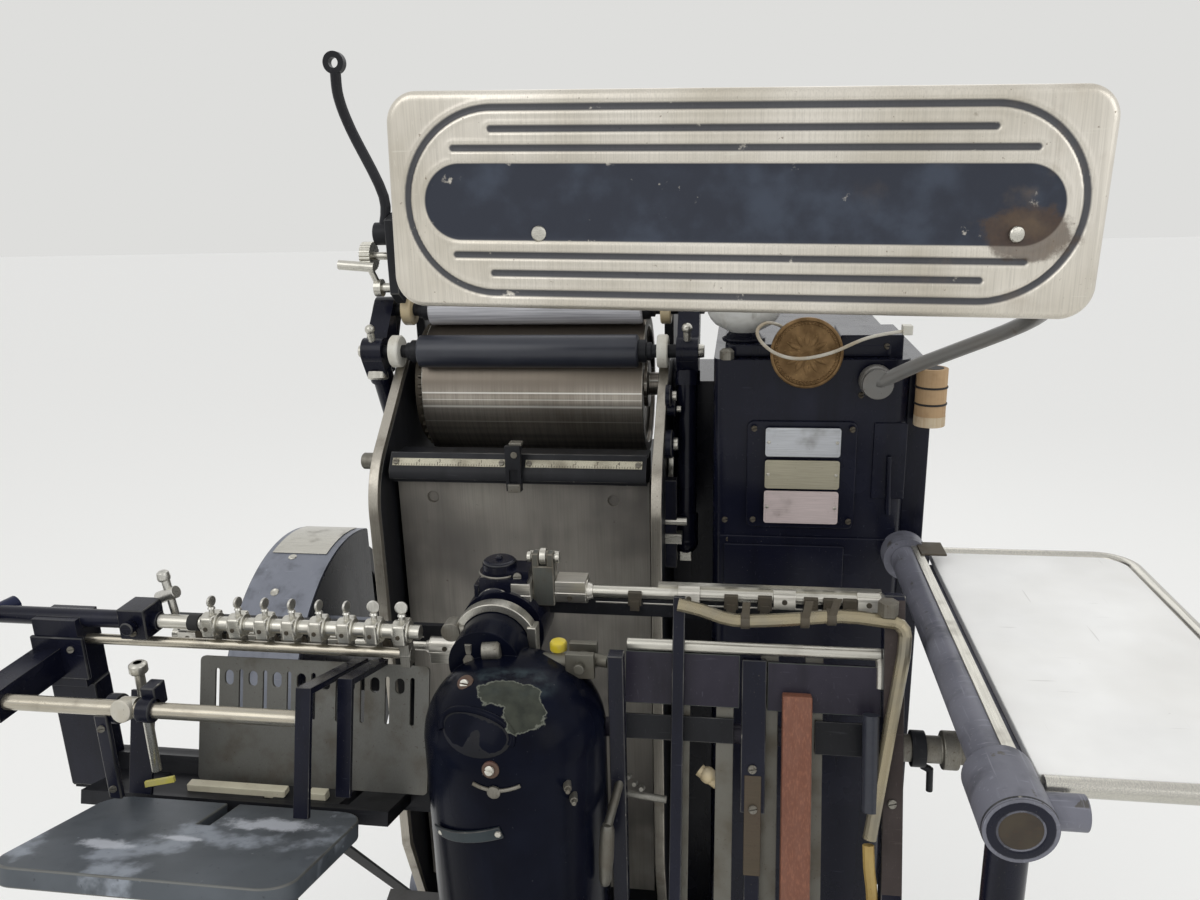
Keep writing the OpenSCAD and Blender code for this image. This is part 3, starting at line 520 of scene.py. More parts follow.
BED = Finish(
    "stained_bed_iron",
    "bed_iron",
    (166, 161, 152),
    0.42,
    metal=0.4,
    grain=0.02,
    grain_scale=1200.0,
    layers=(
        Layer(Pattern.CLOUDS, (88, 85, 83), 6.0, 0.44, 0.4, 0.85, 0.5, seed=1.3),
        Layer(Pattern.CLOUDS, (172, 168, 158), 12.0, 0.32, 0.3, 0.55, 0.38, seed=4.2),
        Layer(Pattern.STREAKS, (60, 57, 54), 22.0, 0.35, 0.3, 0.6, 0.55, seed=2.0),
        Layer(Pattern.BRUSHED, (104, 102, 98), 500.0, 0.4, 0.5, 0.3, 0.45, along=Axis.Z, seed=6.0),
        Layer(Pattern.SPECKS, (74, 62, 50), 130.0, 0.1, 0.08, 0.6, 0.7, 0.2, seed=8.0),
        Layer(Pattern.CLOUDS, (92, 72, 52), 40.0, 0.12, 0.1, 0.35, 0.6, 0.2, seed=11.0),
    ),
)
GREY_IRON = replace(BED, name="grey_iron", slot="grey_iron", colour=(104, 104, 104))
WOOD = Finish(
    "red_brown_wood",
    "brown_wood",
    (122, 78, 60),
    0.6,
    grain=0.04,
    layers=(
        Layer(Pattern.BRUSHED, (108, 64, 46), 180.0, 0.5, 0.5, 0.6, 0.7, height=-0.04, along=Axis.Z),
        Layer(Pattern.BRUSHED, (158, 104, 78), 700.0, 0.35, 0.3, 0.4, 0.6, along=Axis.Z, seed=3.0),
        Layer(Pattern.CLOUDS, (92, 56, 44), 12.0, 0.3, 0.3, 0.5, 0.65, seed=6.0),
    ),
)
BOARD = Finish(
    "white_board",
    "white_board",
    (250, 250, 248),
    0.4,
    layers=(
        Layer(Pattern.CLOUDS, (214, 212, 206), 8.0, 0.4, 0.5, 0.5, 0.5),
        Layer(Pattern.SCRATCHES, (176, 174, 170), 300.0, 0.08, 0.05, 0.4, 0.5, seed=5.0),
        Layer(Pattern.SPECKS, (150, 146, 140), 260.0, 0.05, 0.06, 0.5, 0.6, seed=7.0),
    ),
)
BLUE_GREY = enamelled("blue_grey_enamel", "blue_grey_paint", (134, 138, 149), 0.34, 0.3, 0.4)


@dataclass(frozen=True)
class DrumFinish(Finish):
    """Ground steel with bright painted reflection lines along the drum, and painted shade that darkens its top
    against the lamps' glare.
    """

    # Heights and half widths of the painted reflection lines, then the heights over which the painted shade comes in.
    lines: tuple[tuple[float, float], ...] = ((1236.6, 1.5), (1219.0, 2.2), (1198.5, 0.9), (1228.0, 0.7))
    film: tuple[float, float] = (1224.0, 1252.0)

    def surface(self, graph: Graph) -> tuple[object, object, object, Value]:
        """Colour, roughness, metal and height, with the painted shade band and the painted reflection lines laid over
        the steel.
        """
        colour, rough, metal, height = super().surface(graph)
        z = graph.axes()[2]
        # Painted shade darkens the drum's top, then painted highlights lay bright lines that stand for reflections.
        colour = graph.mix(z.step(self.film[0] * MM, self.film[1] * MM) * 0.94, colour, rgba((116, 108, 98)))
        for level, reach in self.lines:
            line = 1.0 - (z - level * MM).size().step(0.0, reach * MM)
            colour = graph.mix(line * 0.9, colour, rgba((240, 238, 230)))
        return colour, rough, metal, height


@dataclass(frozen=True)
class TableFinish(Finish):
    """Worn table enamel with pale smears where sheets have rubbed it."""

    smears: tuple[tuple[tuple[float, float], tuple[float, float]], ...] = (
        ((-159.0, -276.0), (44.0, 13.0)),
        ((-277.0, -338.0), (26.0, 9.0)),
        ((-221.0, -316.0), (20.0, 6.0)),
    )

    def surface(self, graph: Graph) -> tuple[object, object, object, Value]:
        """Colour, roughness, metal and height, with the smears laid over the enamel."""
        colour, rough, metal, height = super().surface(graph)
        axes = graph.axes()[:2]
        wobble = (graph.noise(graph.place(), 46.0, 7.0, 0.7) - 0.5) * 2.4
        for centre, reach in self.smears:
            share = 1.0 - (graph.far(axes, centre, reach) + wobble).step(0.5, 1.2)
            colour = graph.mix(share * 0.85, colour, rgba((196, 200, 208)))
        return colour, rough, metal, height


TABLE = TableFinish(
    "worn_table_plate",
    "grey_iron",
    (80, 86, 92),
    0.5,
    metal=0.1,
    grain=0.05,
    grain_scale=500.0,
    layers=(
        Layer(Pattern.CLOUDS, (98, 104, 111), 10.0, 0.4, 0.3, 0.6, 0.5),
        Layer(Pattern.CLOUDS, (50, 54, 60), 16.0, 0.3, 0.3, 0.6, 0.6, seed=6.0),
        Layer(Pattern.CHIPS, (158, 165, 175), 11.0, 0.32, 0.1, 0.75, 0.55, seed=3.0),
        Layer(Pattern.CHIPS, (148, 154, 162), 60.0, 0.16, 0.05, 0.65, 0.5, seed=14.0),
        Layer(Pattern.SPECKS, (36, 39, 44), 220.0, 0.16, 0.12, 0.5, 0.6, seed=9.0),
    ),
)
HOSE = Finish(
    "yellowed_hose",
    "hose_rubber",
    (186, 158, 92),
    0.5,
    layers=(
        Layer(Pattern.CLOUDS, (140, 112, 58), 30.0, 0.45, 0.4, 0.6, 0.6),
        Layer(Pattern.SPECKS, (70, 56, 36), 400.0, 0.18, 0.1, 0.5, 0.7, seed=3.0),
    ),
)
BELT = Finish(
    "belt_rubber",
    "belt_rubber",
    (20, 20, 21),
    0.7,
    grain=0.06,
    layers=(
        Layer(Pattern.CLOUDS, (54, 52, 50), 30.0, 0.4, 0.4, 0.5, 0.8),
        Layer(Pattern.SPECKS, (90, 86, 80), 500.0, 0.1, 0.1, 0.5, 0.8, seed=3.0),
    ),
)
TUBE = Finish(
    "grey_tube_paint",
    "grey_tube",
    (116, 113, 108),
    0.34,
    metal=0.3,
    coat=0.1,
    grain=0.02,
    layers=(
        Layer(Pattern.CLOUDS, (110, 112, 112), 24.0, 0.4, 0.4, 0.6, 0.45),
        Layer(Pattern.CHIPS, (92, 84, 74), 60.0, 0.15, 0.05, 0.7, 0.5, seed=4.0),
        Layer(Pattern.SPECKS, (80, 66, 50), 400.0, 0.12, 0.08, 0.6, 0.7, seed=6.0),
    ),
)
AIR = replace(TUBE, name="air_tube_metal", colour=(164, 153, 126), metal=0.75, rough=0.24)
KRAFT = Finish(
    "tan_card",
    "kraft_tube",
    (186, 156, 118),
    0.75,
    grain=0.05,
    layers=(
        Layer(Pattern.BRUSHED, (160, 128, 92), 500.0, 0.4, 0.4, 0.5, 0.8, along=Axis.Z),
        Layer(Pattern.CLOUDS, (128, 100, 72), 60.0, 0.3, 0.3, 0.5, 0.8, seed=2.0),
    ),
)


# Meshes


def arc(radius: float, degrees: range | list[int]) -> list[tuple[float, float]]:
    """Points of a flat arc about the origin."""
    return [(radius * math.cos(math.radians(a)), radius * math.sin(math.radians(a))) for a in degrees]


def oblong(width: float, height: float) -> list[tuple[float, float]]:
    """A flat rectangle from the origin."""
    return [(0.0, 0.0), (width, 0.0), (width, height), (0.0, height)]


class Shape:
    """A mesh under construction, in millimetres."""

    def __init__(self) -> None:
        """Starts empty."""
        self.bm = bmesh.new()

    def prism(self, outline: list[tuple[float, float]], base: Point, across: Point, up: Point, depth: float) -> Shape:
        """A flat outline drawn out along across x up.

        Args:
            outline: Points in the plane, anticlockwise about the way it is drawn out.
            base: Where the outline's origin lies.
            across: Direction of the outline's first coordinate.
            up: Direction of the outline's second coordinate.
            depth: How far it is drawn out.

        Returns:
            This shape.
        """
        origin, u, v = Vector(base), Vector(across), Vector(up)
        way = u.cross(v).normalized() * depth
        low = [self.bm.verts.new(origin + u * a + v * b) for a, b in outline]
        high = [self.bm.verts.new(w.co + way) for w in low]
        count = len(low)
        self.bm.faces.new(low[::-1])
        self.bm.faces.new(high)
        for i in range(count):
            j = (i + 1) % count
            self.bm.faces.new((low[i], low[j], high[j], high[i]))
        return self

    def box(self, low: Point, high: Point) -> Shape:
        """A block between two corners."""
        size = [b - a for a, b in zip(low, high)]
        return self.prism(oblong(size[0], size[1]), low, RIGHT, BACK, size[2])

    def lathe(self, profile: list[tuple[float, float]], base: Point, way: Point, steps: int = 40) -> Shape:
        """A turned solid.

        Args:
            profile: Radius and height pairs from the foot to the head; both ends are closed.
            base: The axis's foot.
            way: The axis's direction.
            steps: Faces round the axis.

        Returns:
            This shape.
        """
        turn = Vector(way).to_track_quat("Z", "Y")
        rings = []
        for radius, height in profile:
            angles = [2 * math.pi * k / steps for k in range(steps)]
            points = [Vector((radius * math.cos(a), radius * math.sin(a), height)) for a in angles]
            rings.append([self.bm.verts.new(Vector(base) + turn @ p) for p in points])
        return self.close(rings)

    def close(self, rings: list[list[bmesh.types.BMVert]]) -> Shape:
        """Joins rings of vertices to a skin and closes both ends."""
        for one, two in zip(rings, rings[1:]):
            for k in range(len(one)):
                j = (k + 1) % len(one)
                self.bm.faces.new((one[k], one[j], two[j], two[k]))
        self.bm.faces.new(rings[0][::-1])
        self.bm.faces.new(rings[-1])
        return self

    def rod(self, start: Point, end: Point, radius: float, end_radius: float | None = None, steps: int = 32) -> Shape:
        """A round bar between two points."""
        way = Vector(end) - Vector(start)
        last = radius if end_radius is None else end_radius
        return self.lathe([(radius, 0.0), (last, way.length)], start, tuple(way.normalized()), steps)

    def ball(self, centre: Point, radius: float, steps: int = 24) -> Shape:
        """A sphere."""
        rows = steps // 2
        angles = [math.pi * (k + 0.5) / rows - math.pi / 2 for k in range(rows)]
        profile = [(radius * math.cos(a), radius * math.sin(a)) for a in angles]
        return self.lathe(profile, centre, UP, steps)

    def sweep(self, path: list[Vector], radius: float, steps: int = 12) -> Shape:
        """A round tube that follows a path."""
        side = Vector((0.21, 0.34, 0.91))
        rings = []
        for i, spot in enumerate(path):
            way = (path[min(i + 1, len(path) - 1)] - path[max(i - 1, 0)]).normalized()
            side = (side - way * side.dot(way)).normalized()
            other = way.cross(side)
            angles = [2 * math.pi * k / steps for k in range(steps)]
            rings.append(
                [self.bm.verts.new(spot + radius * (math.cos(a) * side + math.sin(a) * other)) for a in angles]
            )
        return self.close(rings)

    def turn(self, angle: float, axis: Axis, about: Point) -> Shape:
        """Turns all that is built so far about an axis, in degrees."""
        centre = Vector(about)
        matrix = Matrix.Rotation(math.radians(angle), 4, Vector(axis.value))
        bmesh.ops.transform(
            self.bm, matrix=Matrix.Translation(centre) @ matrix @ Matrix.Translation(-centre), verts=self.bm.verts
        )
        return self

    def mesh(self, name: str) -> bpy.types.Mesh:
        """The mesh in metres."""
        bmesh.ops.scale(self.bm, vec=(MM, MM, MM), verts=self.bm.verts)
        made = bpy.data.meshes.new(name)
        self.bm.to_mesh(made)
        self.bm.free()
        return made


def smooth_path(points: list[Point], steps: int) -> list[Vector]:
    """A smooth curve through points, with steps to each stretch."""
    p = [Vector(q) for q in points]
    out = []
    for i in range(len(p) - 1):
        a, b, c, d = p[max(i - 1, 0)], p[i], p[i + 1], p[min(i + 2, len(p) - 1)]
        for k in range(steps):
            s = k / steps
            out.append(
                0.5 * (2 * b + (c - a) * s + (2 * a - 5 * b + 4 * c - d) * s * s + (3 * b - a - 3 * c + d) * s**3)
            )
    return [*out, p[-1]]


# Copies in rows, rings and at spots


class Rule(Enum):
    """How copies of a small part are laid out."""

    ROW = "row"
    RING = "ring"
    SPOTS = "spots"


def new_tree(name: str, inputs: dict[str, str]) -> bpy.types.NodeTree:
    """An empty Geometry Nodes tree with geometry in and out, and other inputs by name and kind."""
    made = bpy.data.node_groups.new(name, "GeometryNodeTree")
    made.interface.new_socket(name="Geometry", in_out="OUTPUT", socket_type="NodeSocketGeometry")
    for label, kind in {"Geometry": "Geometry", **inputs}.items():
        made.interface.new_socket(name=label, in_out="INPUT", socket_type=f"NodeSocket{kind}")
    return made


class Repeater:
    """Geometry Nodes trees that lay out copies of a small part, baked to plain meshes."""

    def __init__(self) -> None:
        """Starts with no trees made."""
        self.trees: dict[Rule, bpy.types.NodeTree] = {}

    def tree(self, rule: Rule) -> bpy.types.NodeTree:
        """The tree of one rule, made on first use.

        Args:
            rule: The layout.

        Returns:
            The tree.
        """
        if rule in self.trees:
            return self.trees[rule]
        inputs = {"Part": "Object", "Count": "Int", "Start": "Vector", "Step": "Vector", "Turn": "Vector"}
        made = new_tree(f"copies_{rule.value}", {**inputs, "Radius": "Float", "Finish": "Material"})
        graph = Graph(made)
        given = graph.node("NodeGroupInput").outputs
        part = graph.node("GeometryNodeObjectInfo", None, {"Object": given["Part"]}).outputs["Geometry"]
        turn: object = given["Turn"]
        if rule is Rule.ROW:
            line = graph.node(
                "GeometryNodeMeshLine",
                {"mode": "OFFSET"},
                {"Count": given["Count"], "Start Location": given["Start"], "Offset": given["Step"]},
            )
            spots = line.outputs[0]
        elif rule is Rule.RING:
            circle = graph.node(
                "GeometryNodeMeshCircle", None, {"Vertices": given["Count"], "Radius": given["Radius"]}
            )
            spots = circle.outputs[0]
            index = Value(graph, graph.node("GeometryNodeInputIndex").outputs[0])
            share = graph.node("ShaderNodeMath", {"operation": "DIVIDE"}, {0: index, 1: given["Count"]})
            angle = Value(graph, share.outputs[0]) * (2 * math.pi)
            turn = graph.node("ShaderNodeCombineXYZ", None, {2: angle}).outputs[0]
        else:
            spots = given["Geometry"]
        copies = graph.node(
            "GeometryNodeInstanceOnPoints", None, {"Points": spots, "Instance": part, "Rotation": turn}
        ).outputs[0]
        if rule is Rule.RING:
            shift = {"Geometry": copies, "Translation": given["Start"], "Rotation": given["Turn"]}
            copies = graph.node("GeometryNodeTransform", None, shift).outputs[0]
        solid = graph.node("GeometryNodeRealizeInstances", None, {0: copies}).outputs[0]
        dressed = graph.node("GeometryNodeSetMaterial", None, {"Geometry": solid, "Material": given["Finish"]})
        graph.node("NodeGroupOutput", None, {0: dressed.outputs[0]})
        self.trees[rule] = made
        return made

    def bake(self, tree: bpy.types.NodeTree, values: dict, spots: list[Point] | None = None) -> bpy.types.Mesh:
        """Runs a tree once and keeps what it makes as a plain mesh.

        Args:
            tree: The tree.
            values: Its inputs by name.
            spots: Vertices that the tree starts from, in metres.

        Returns:
            The mesh.
        """
        base = bpy.data.meshes.new("spots")
        base.from_pydata([tuple(s) for s in spots or [ORIGIN]], [], [])
        carrier = bpy.data.objects.new("carrier", base)
        bpy.context.scene.collection.objects.link(carrier)
        modifier = carrier.modifiers.new("copies", "NODES")
        modifier.node_group = tree
        for item in tree.interface.items_tree:
            if item.in_out == "INPUT" and item.name in values:
                modifier[item.identifier] = values[item.name]
        graph = bpy.context.evaluated_depsgraph_get()
        mesh = bpy.data.meshes.new_from_object(carrier.evaluated_get(graph), depsgraph=graph)
        bpy.data.objects.remove(carrier)
        return mesh

    def copies(
        self,
        rule: Rule,
        part: Shape,
        finish: Finish,
        count: int = 1,
        start: Point = ORIGIN,
        step: Point = ORIGIN,
        turn: Point = ORIGIN,
        radius: float = 0.0,
        spots: list[Point] | None = None,
    ) -> bpy.types.Mesh:
        """Copies of a part, in millimetres.

        Args:
            rule: The layout.
            part: The part about its own origin.
            finish: What the copies are dressed in.
            count: How many, in a row or ring.
            start: The first copy of a row, or a ring's centre.
            step: From one copy of a row to the next.
            turn: Angles about X, Y and Z, in degrees.
            radius: A ring's radius.
            spots: Places of single copies.

        Returns:
            The mesh, in metres.
        """
        holder = bpy.data.objects.new("part", part.mesh("part"))
        bpy.context.scene.collection.objects.link(holder)
        values = {
            "Part": holder,
            "Count": count,
            "Start": [c * MM for c in start],
            "Step": [c * MM for c in step],
            "Turn": [math.radians(c) for c in turn],
            "Radius": radius * MM,
            "Finish": finish.material(),
        }
        mesh = self.bake(self.tree(rule), values, [tuple(c * MM for c in s) for s in spots or []])
        bpy.data.objects.remove(holder)
        return mesh

    def sheet_tree(self) -> bpy.types.NodeTree:
        """The tree of a sheet with two rows of slots, drawn flat in X and Y."""
        found = bpy.data.node_groups.get("pierced_sheet")
        if found:
            return found
        vectors = dict.fromkeys(("Size", "First slot", "Slot size", "First hole", "Hole size", "Pitch"), "Vector")
        counts = {"Slots": "Int", "Holes": "Int"}
        made = new_tree("pierced_sheet", {**vectors, **counts, "Rounding": "Float", "Finish": "Material"})
        graph = Graph(made)
        given = graph.node("NodeGroupInput").outputs

        def rounded(size: bpy.types.NodeSocket, rounding: object) -> bpy.types.NodeSocket:
            """A rectangle of a vector's X and Y, with rounded corners."""
            parts = graph.node("ShaderNodeSeparateXYZ", None, {0: size}).outputs
            box = graph.node("GeometryNodeCurvePrimitiveQuadrilateral", None, {"Width": parts[0], "Height": parts[1]})
            inputs = {"Curve": box.outputs[0], "Radius": rounding, "Count": 6, "Limit Radius": True}
            return graph.node("GeometryNodeFilletCurve", {"mode": "POLY"}, inputs).outputs[0]

        outlines = [rounded(given["Size"], given["Rounding"])]
        for first, size, count in (("First slot", "Slot size", "Slots"), ("First hole", "Hole size", "Holes")):
            inputs = {"Count": given[count], "Start Location": given[first], "Offset": given["Pitch"]}
            line = graph.node("GeometryNodeMeshLine", {"mode": "OFFSET"}, inputs).outputs[0]
            placed = graph.node(
                "GeometryNodeInstanceOnPoints", None, {"Points": line, "Instance": rounded(given[size], 1.0)}
            )
            outlines.append(placed.outputs[0])
        joined = graph.node("GeometryNodeJoinGeometry")
        for outline in outlines:
            made.links.new(outline, joined.inputs[0])
        whole = graph.node("GeometryNodeRealizeInstances", None, {0: joined.outputs[0]}).outputs[0]
        flat = graph.node("GeometryNodeFillCurve", None, {0: whole}).outputs[0]
        depth = graph.node("ShaderNodeSeparateXYZ", None, {0: given["Size"]}).outputs[2]
        raised = graph.node(
            "GeometryNodeExtrudeMesh", None, {"Mesh": flat, "Offset Scale": depth, "Individual": False}
        )
        under = graph.node("GeometryNodeFlipFaces", None, {0: flat}).outputs[0]
        both = graph.node("GeometryNodeJoinGeometry")
        made.links.new(raised.outputs[0], both.inputs[0])
        made.links.new(under, both.inputs[0])
        closed = graph.node("GeometryNodeMergeByDistance", None, {"Geometry": both.outputs[0], "Distance": 1e-6})
        dressed = graph.node(
            "GeometryNodeSetMaterial", None, {"Geometry": closed.outputs[0], "Material": given["Finish"]}
        )
        graph.node("NodeGroupOutput", None, {0: dressed.outputs[0]})
        return made


def screw_head(radius: float, height: float, slot: float = 1.2) -> Shape:
    """A cheese head with a slot, about its foot and facing up Z."""
    shape = Shape().lathe([(radius, 0.0), (radius, height * 0.5)], ORIGIN, UP, 20)
    half = slot / 2
    first = math.asin(min(half / radius, 0.9))
    half_round = [first + (math.pi - 2 * first) * k / 8 for k in range(9)]
    for sign in (1.0, -1.0):
        outline = [(sign * radius * math.cos(a), sign * radius * math.sin(a)) for a in half_round]
        shape.prism(outline, (0.0, 0.0, height * 0.5), RIGHT, BACK, height * 0.5)
    return shape


def hex_head(radius: float, height: float) -> Shape:
    """A hexagon head on its washer, about its foot and facing up Z."""
    shape = Shape().lathe([(radius * 1.15, 0.0), (radius * 1.15, height * 0.2)], ORIGIN, UP, 24)
    return shape.lathe([(radius, height * 0.2), (radius, height * 0.85), (radius * 0.85, height)], ORIGIN, UP, 6)


def thumb_screw(radius: float) -> Shape:
    """A screw with a round flat grip, standing up Z and flat across Y."""
    shape = Shape().rod(ORIGIN, (0.0, 0.0, radius * 0.9), radius * 0.34, steps=12)
    shape.lathe([(radius * 0.5, radius * 0.6), (radius * 0.36, radius * 0.9)], ORIGIN, UP, 16)
    middle = (0.0, -radius * 0.2, radius * 1.55)
    rim = [
        (radius * 0.5, 0.0), (radius * 0.72, radius * 0.08), (radius * 0.72, radius * 0.32),
        (radius * 0.5, radius * 0.4),
    ]
    return shape.lathe(rim, middle, BACK, 20)


FEED_TILT = math.radians(17.0)
FEED_Y = -325.0
FEED_Z = 950.0


def feed(x: float, y: float, z: float) -> Point:
    """A point of the tilted feed table's own frame, in the press's frame."""
    turned_y = y * math.cos(FEED_TILT) + z * math.sin(FEED_TILT)
    turned_z = z * math.cos(FEED_TILT) - y * math.sin(FEED_TILT)
    return (x, FEED_Y + turned_y, FEED_Z + turned_z)


def feed_way(back: float, up: float) -> Point:
    """A direction of the tilted feed table's own frame, in the press's frame."""
    return tuple(Vector(feed(0.0, back, up)) - Vector(feed(0.0, 0.0, 0.0)))


def feed_matrix() -> Matrix:
    """The tilted feed table's frame, in metres."""
    return Matrix.Translation((0.0, FEED_Y * MM, FEED_Z * MM)) @ Matrix.Rotation(-FEED_TILT, 4, "X")


class Workshop:
    """Makes pieces, dresses them and hangs them on the frame's bodies."""

    def __init__(self, frame: dict) -> None:
        """Reads which body each node rides on."""
        self.nodes = frame["nodes"]
        groups = frame["record"]["behaviour"]["bodies"]
        self.body_of = {node: body for body, nodes in groups.items() for node in nodes}
        self.repeat = Repeater()

    def add(
        self,
        name: str,
        mesh: Shape | bpy.types.Mesh,
        finish: Finish,
        stands_for: tuple[str, ...] = (),
        body: str = "press",
        bevel: float = 0.6,
        edge: Finish | None = None,
        angle: float = 38.0,
    ) -> bpy.types.Object:
        """Makes a piece of a mesh.

        Args:
            name: The piece's name.
            mesh: Its shape, or its mesh in metres, in place.
            finish: What it is dressed in.
            stands_for: The CAD nodes that it replaces.
            body: The body that it rides on, unless it replaces a node.
            bevel: Width of its rounded edges, 0 for none.
            edge: The finish of the rounded edges, if it differs.
            angle: The angle from which an edge is rounded, in degrees.

        Returns:
            The piece.
        """
        if isinstance(mesh, Shape):
            mesh = mesh.mesh(name)
        piece = bpy.data.objects.new(name, mesh)
        bpy.context.scene.collection.objects.link(piece)
        mesh.materials.clear()
        mesh.materials.append(finish.material())
        mesh.shade_smooth()
        if bevel:
            if edge:
                mesh.materials.append(edge.material())
            rounding = piece.modifiers.new("rounding", "BEVEL")
            rounding.width = bevel * MM
            rounding.segments = 2
            rounding.limit_method = "ANGLE"
            rounding.angle_limit = math.radians(angle)
            rounding.harden_normals = False
            rounding.use_clamp_overlap = True
            rounding.material = 1 if edge else -1
            even = piece.modifiers.new("even", "WEIGHTED_NORMAL")
            even.keep_sharp = False
        else:
            mesh.set_sharp_from_angle(angle=math.radians(angle))
        if stands_for:
            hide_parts(*stands_for)
            body = self.body_of[stands_for[0]]
        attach(piece, body)
        LOG.info("%s rides on %s", name, body)
        return piece

    def copy(
        self,
        name: str,
        rule: Rule,
        part: Shape,
        finish: Finish,
        body: str = "press",
        bevel: float = 0.3,
        angle: float = 38.0,
        move: Matrix | None = None,
        **layout: object,
    ) -> None:
        """Makes a piece of copies of a small part.

        Args:
            name: The piece's name.
            rule: How the copies are laid out.
            part: The part about its own origin.
            finish: What they are dressed in.
            body: The body that they ride on.
            bevel: Width of their rounded edges, 0 for none.
            angle: The angle from which an edge is rounded, in degrees.
            move: What moves the whole piece in the end, in metres.
            **layout: Count, start, step, turn, radius or spots, as the repeater takes them.
        """
        mesh = self.repeat.copies(rule, part, finish, **layout)
        if move:
            mesh.transform(move)
        self.add(name, mesh, finish, body=body, bevel=bevel, angle=angle)

    def screws(
        self,
        name: str,
        size: Point,
        finish: Finish,
        turn: Point,
        spots: list[Point],
        bevel: float,
        **more: object,
    ) -> None:
        """Slotted screws at single spots.

        Args:
            name: The piece's name.
            size: Radius, height and slot of a head.
            finish: What they are dressed in.
            turn: Angles of a head about X, Y and Z, in degrees.
            spots: Where they sit.
            bevel: Width of their rounded edges.
            **more: The body that they ride on and what moves them, as copy takes them.
        """
        self.copy(name, Rule.SPOTS, screw_head(*size), finish, turn=turn, spots=spots, bevel=bevel, **more)

    def side_bolts(
        self,
        name: str,
        size: tuple[float, float],
        x: float,
        places: tuple[tuple[float, float], ...],
        bevel: float,
    ) -> None:
        """Hexagon bolts at the same places, in Y and Z, on the left and right outside of a pair of frames."""
        for side, label in ((-1, "left"), (1, "right")):
            spots = [(side * x, y, z) for y, z in places]
            self.copy(
                f"{name}_{label}",
                Rule.SPOTS,
                hex_head(*size),
                FIN.worn,
                turn=(0, 90 * side, 0),
                spots=spots,
                bevel=bevel,
            )

    def recast(
        self, node: str, finish: Finish, bevel: float = 1.0, edge: Finish | None = None, angle: float = 38.0
    ) -> bpy.types.Object:
        """A finished copy of a CAD node with rounded edges, which then stands for it.

        Args:
            node: The CAD node.
            finish: What the copy is dressed in.
            bevel: Width of its rounded edges.
            edge: The finish of the rounded edges, if it differs.
            angle: The angle from which an edge is rounded.

        Returns:
            The copy.
        """
        bm = bmesh.new()
        bm.from_mesh(self.nodes[node].data)
        bmesh.ops.remove_doubles(bm, verts=bm.verts, dist=1e-5)
        bmesh.ops.dissolve_limit(bm, angle_limit=math.radians(1.0), verts=bm.verts, edges=bm.edges)
        mesh = bpy.data.meshes.new(f"{node}_cast")
        bm.to_mesh(mesh)
        bm.free()
        return self.add(f"{node}_piece", mesh, finish, (node,), bevel=bevel, edge=edge, angle=angle)

    def dress(self, node: str, finish: Finish) -> None:
        """Gives a CAD node that stays its finish."""
        data = self.nodes[node].data
        data.materials.clear()
        data.materials.append(finish.material())
        LOG.info("%s keeps its solid", node)

    def box_of(self, node: str) -> tuple[Point, Point]:
        """The corners of a CAD node's box."""
        low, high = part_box(node)
        return tuple(c / MM for c in low), tuple(c / MM for c in high)

    def write(self, name: str, text: str, spot: Point, size: float, finish: Finish, tilt: float = 0.0) -> None:
        """Lays a short number on a surface that faces up or slopes.

        Args:
            name: The piece's name.
            text: What it says.
            spot: Its lower left corner.
            size: Height of a line.
            finish: What it is dressed in.
            tilt: The surface's slope, in degrees.
        """
        curve = bpy.data.curves.new(name, "FONT")
        curve.body = text
        curve.size = size
        curve.extrude = 0.06
        holder = bpy.data.objects.new(name, curve)
        bpy.context.scene.collection.objects.link(holder)
        graph = bpy.context.evaluated_depsgraph_get()
        mesh = bpy.data.meshes.new_from_object(holder.evaluated_get(graph), depsgraph=graph)
        bpy.data.objects.remove(holder)
        tilted = Matrix.Rotation(math.radians(tilt), 4, "X")
        mesh.transform(Matrix.Translation(Vector(spot) * MM) @ tilted @ Matrix.Scale(MM, 4))
        self.add(name, mesh, finish, bevel=0.0)


# Sub-assemblies


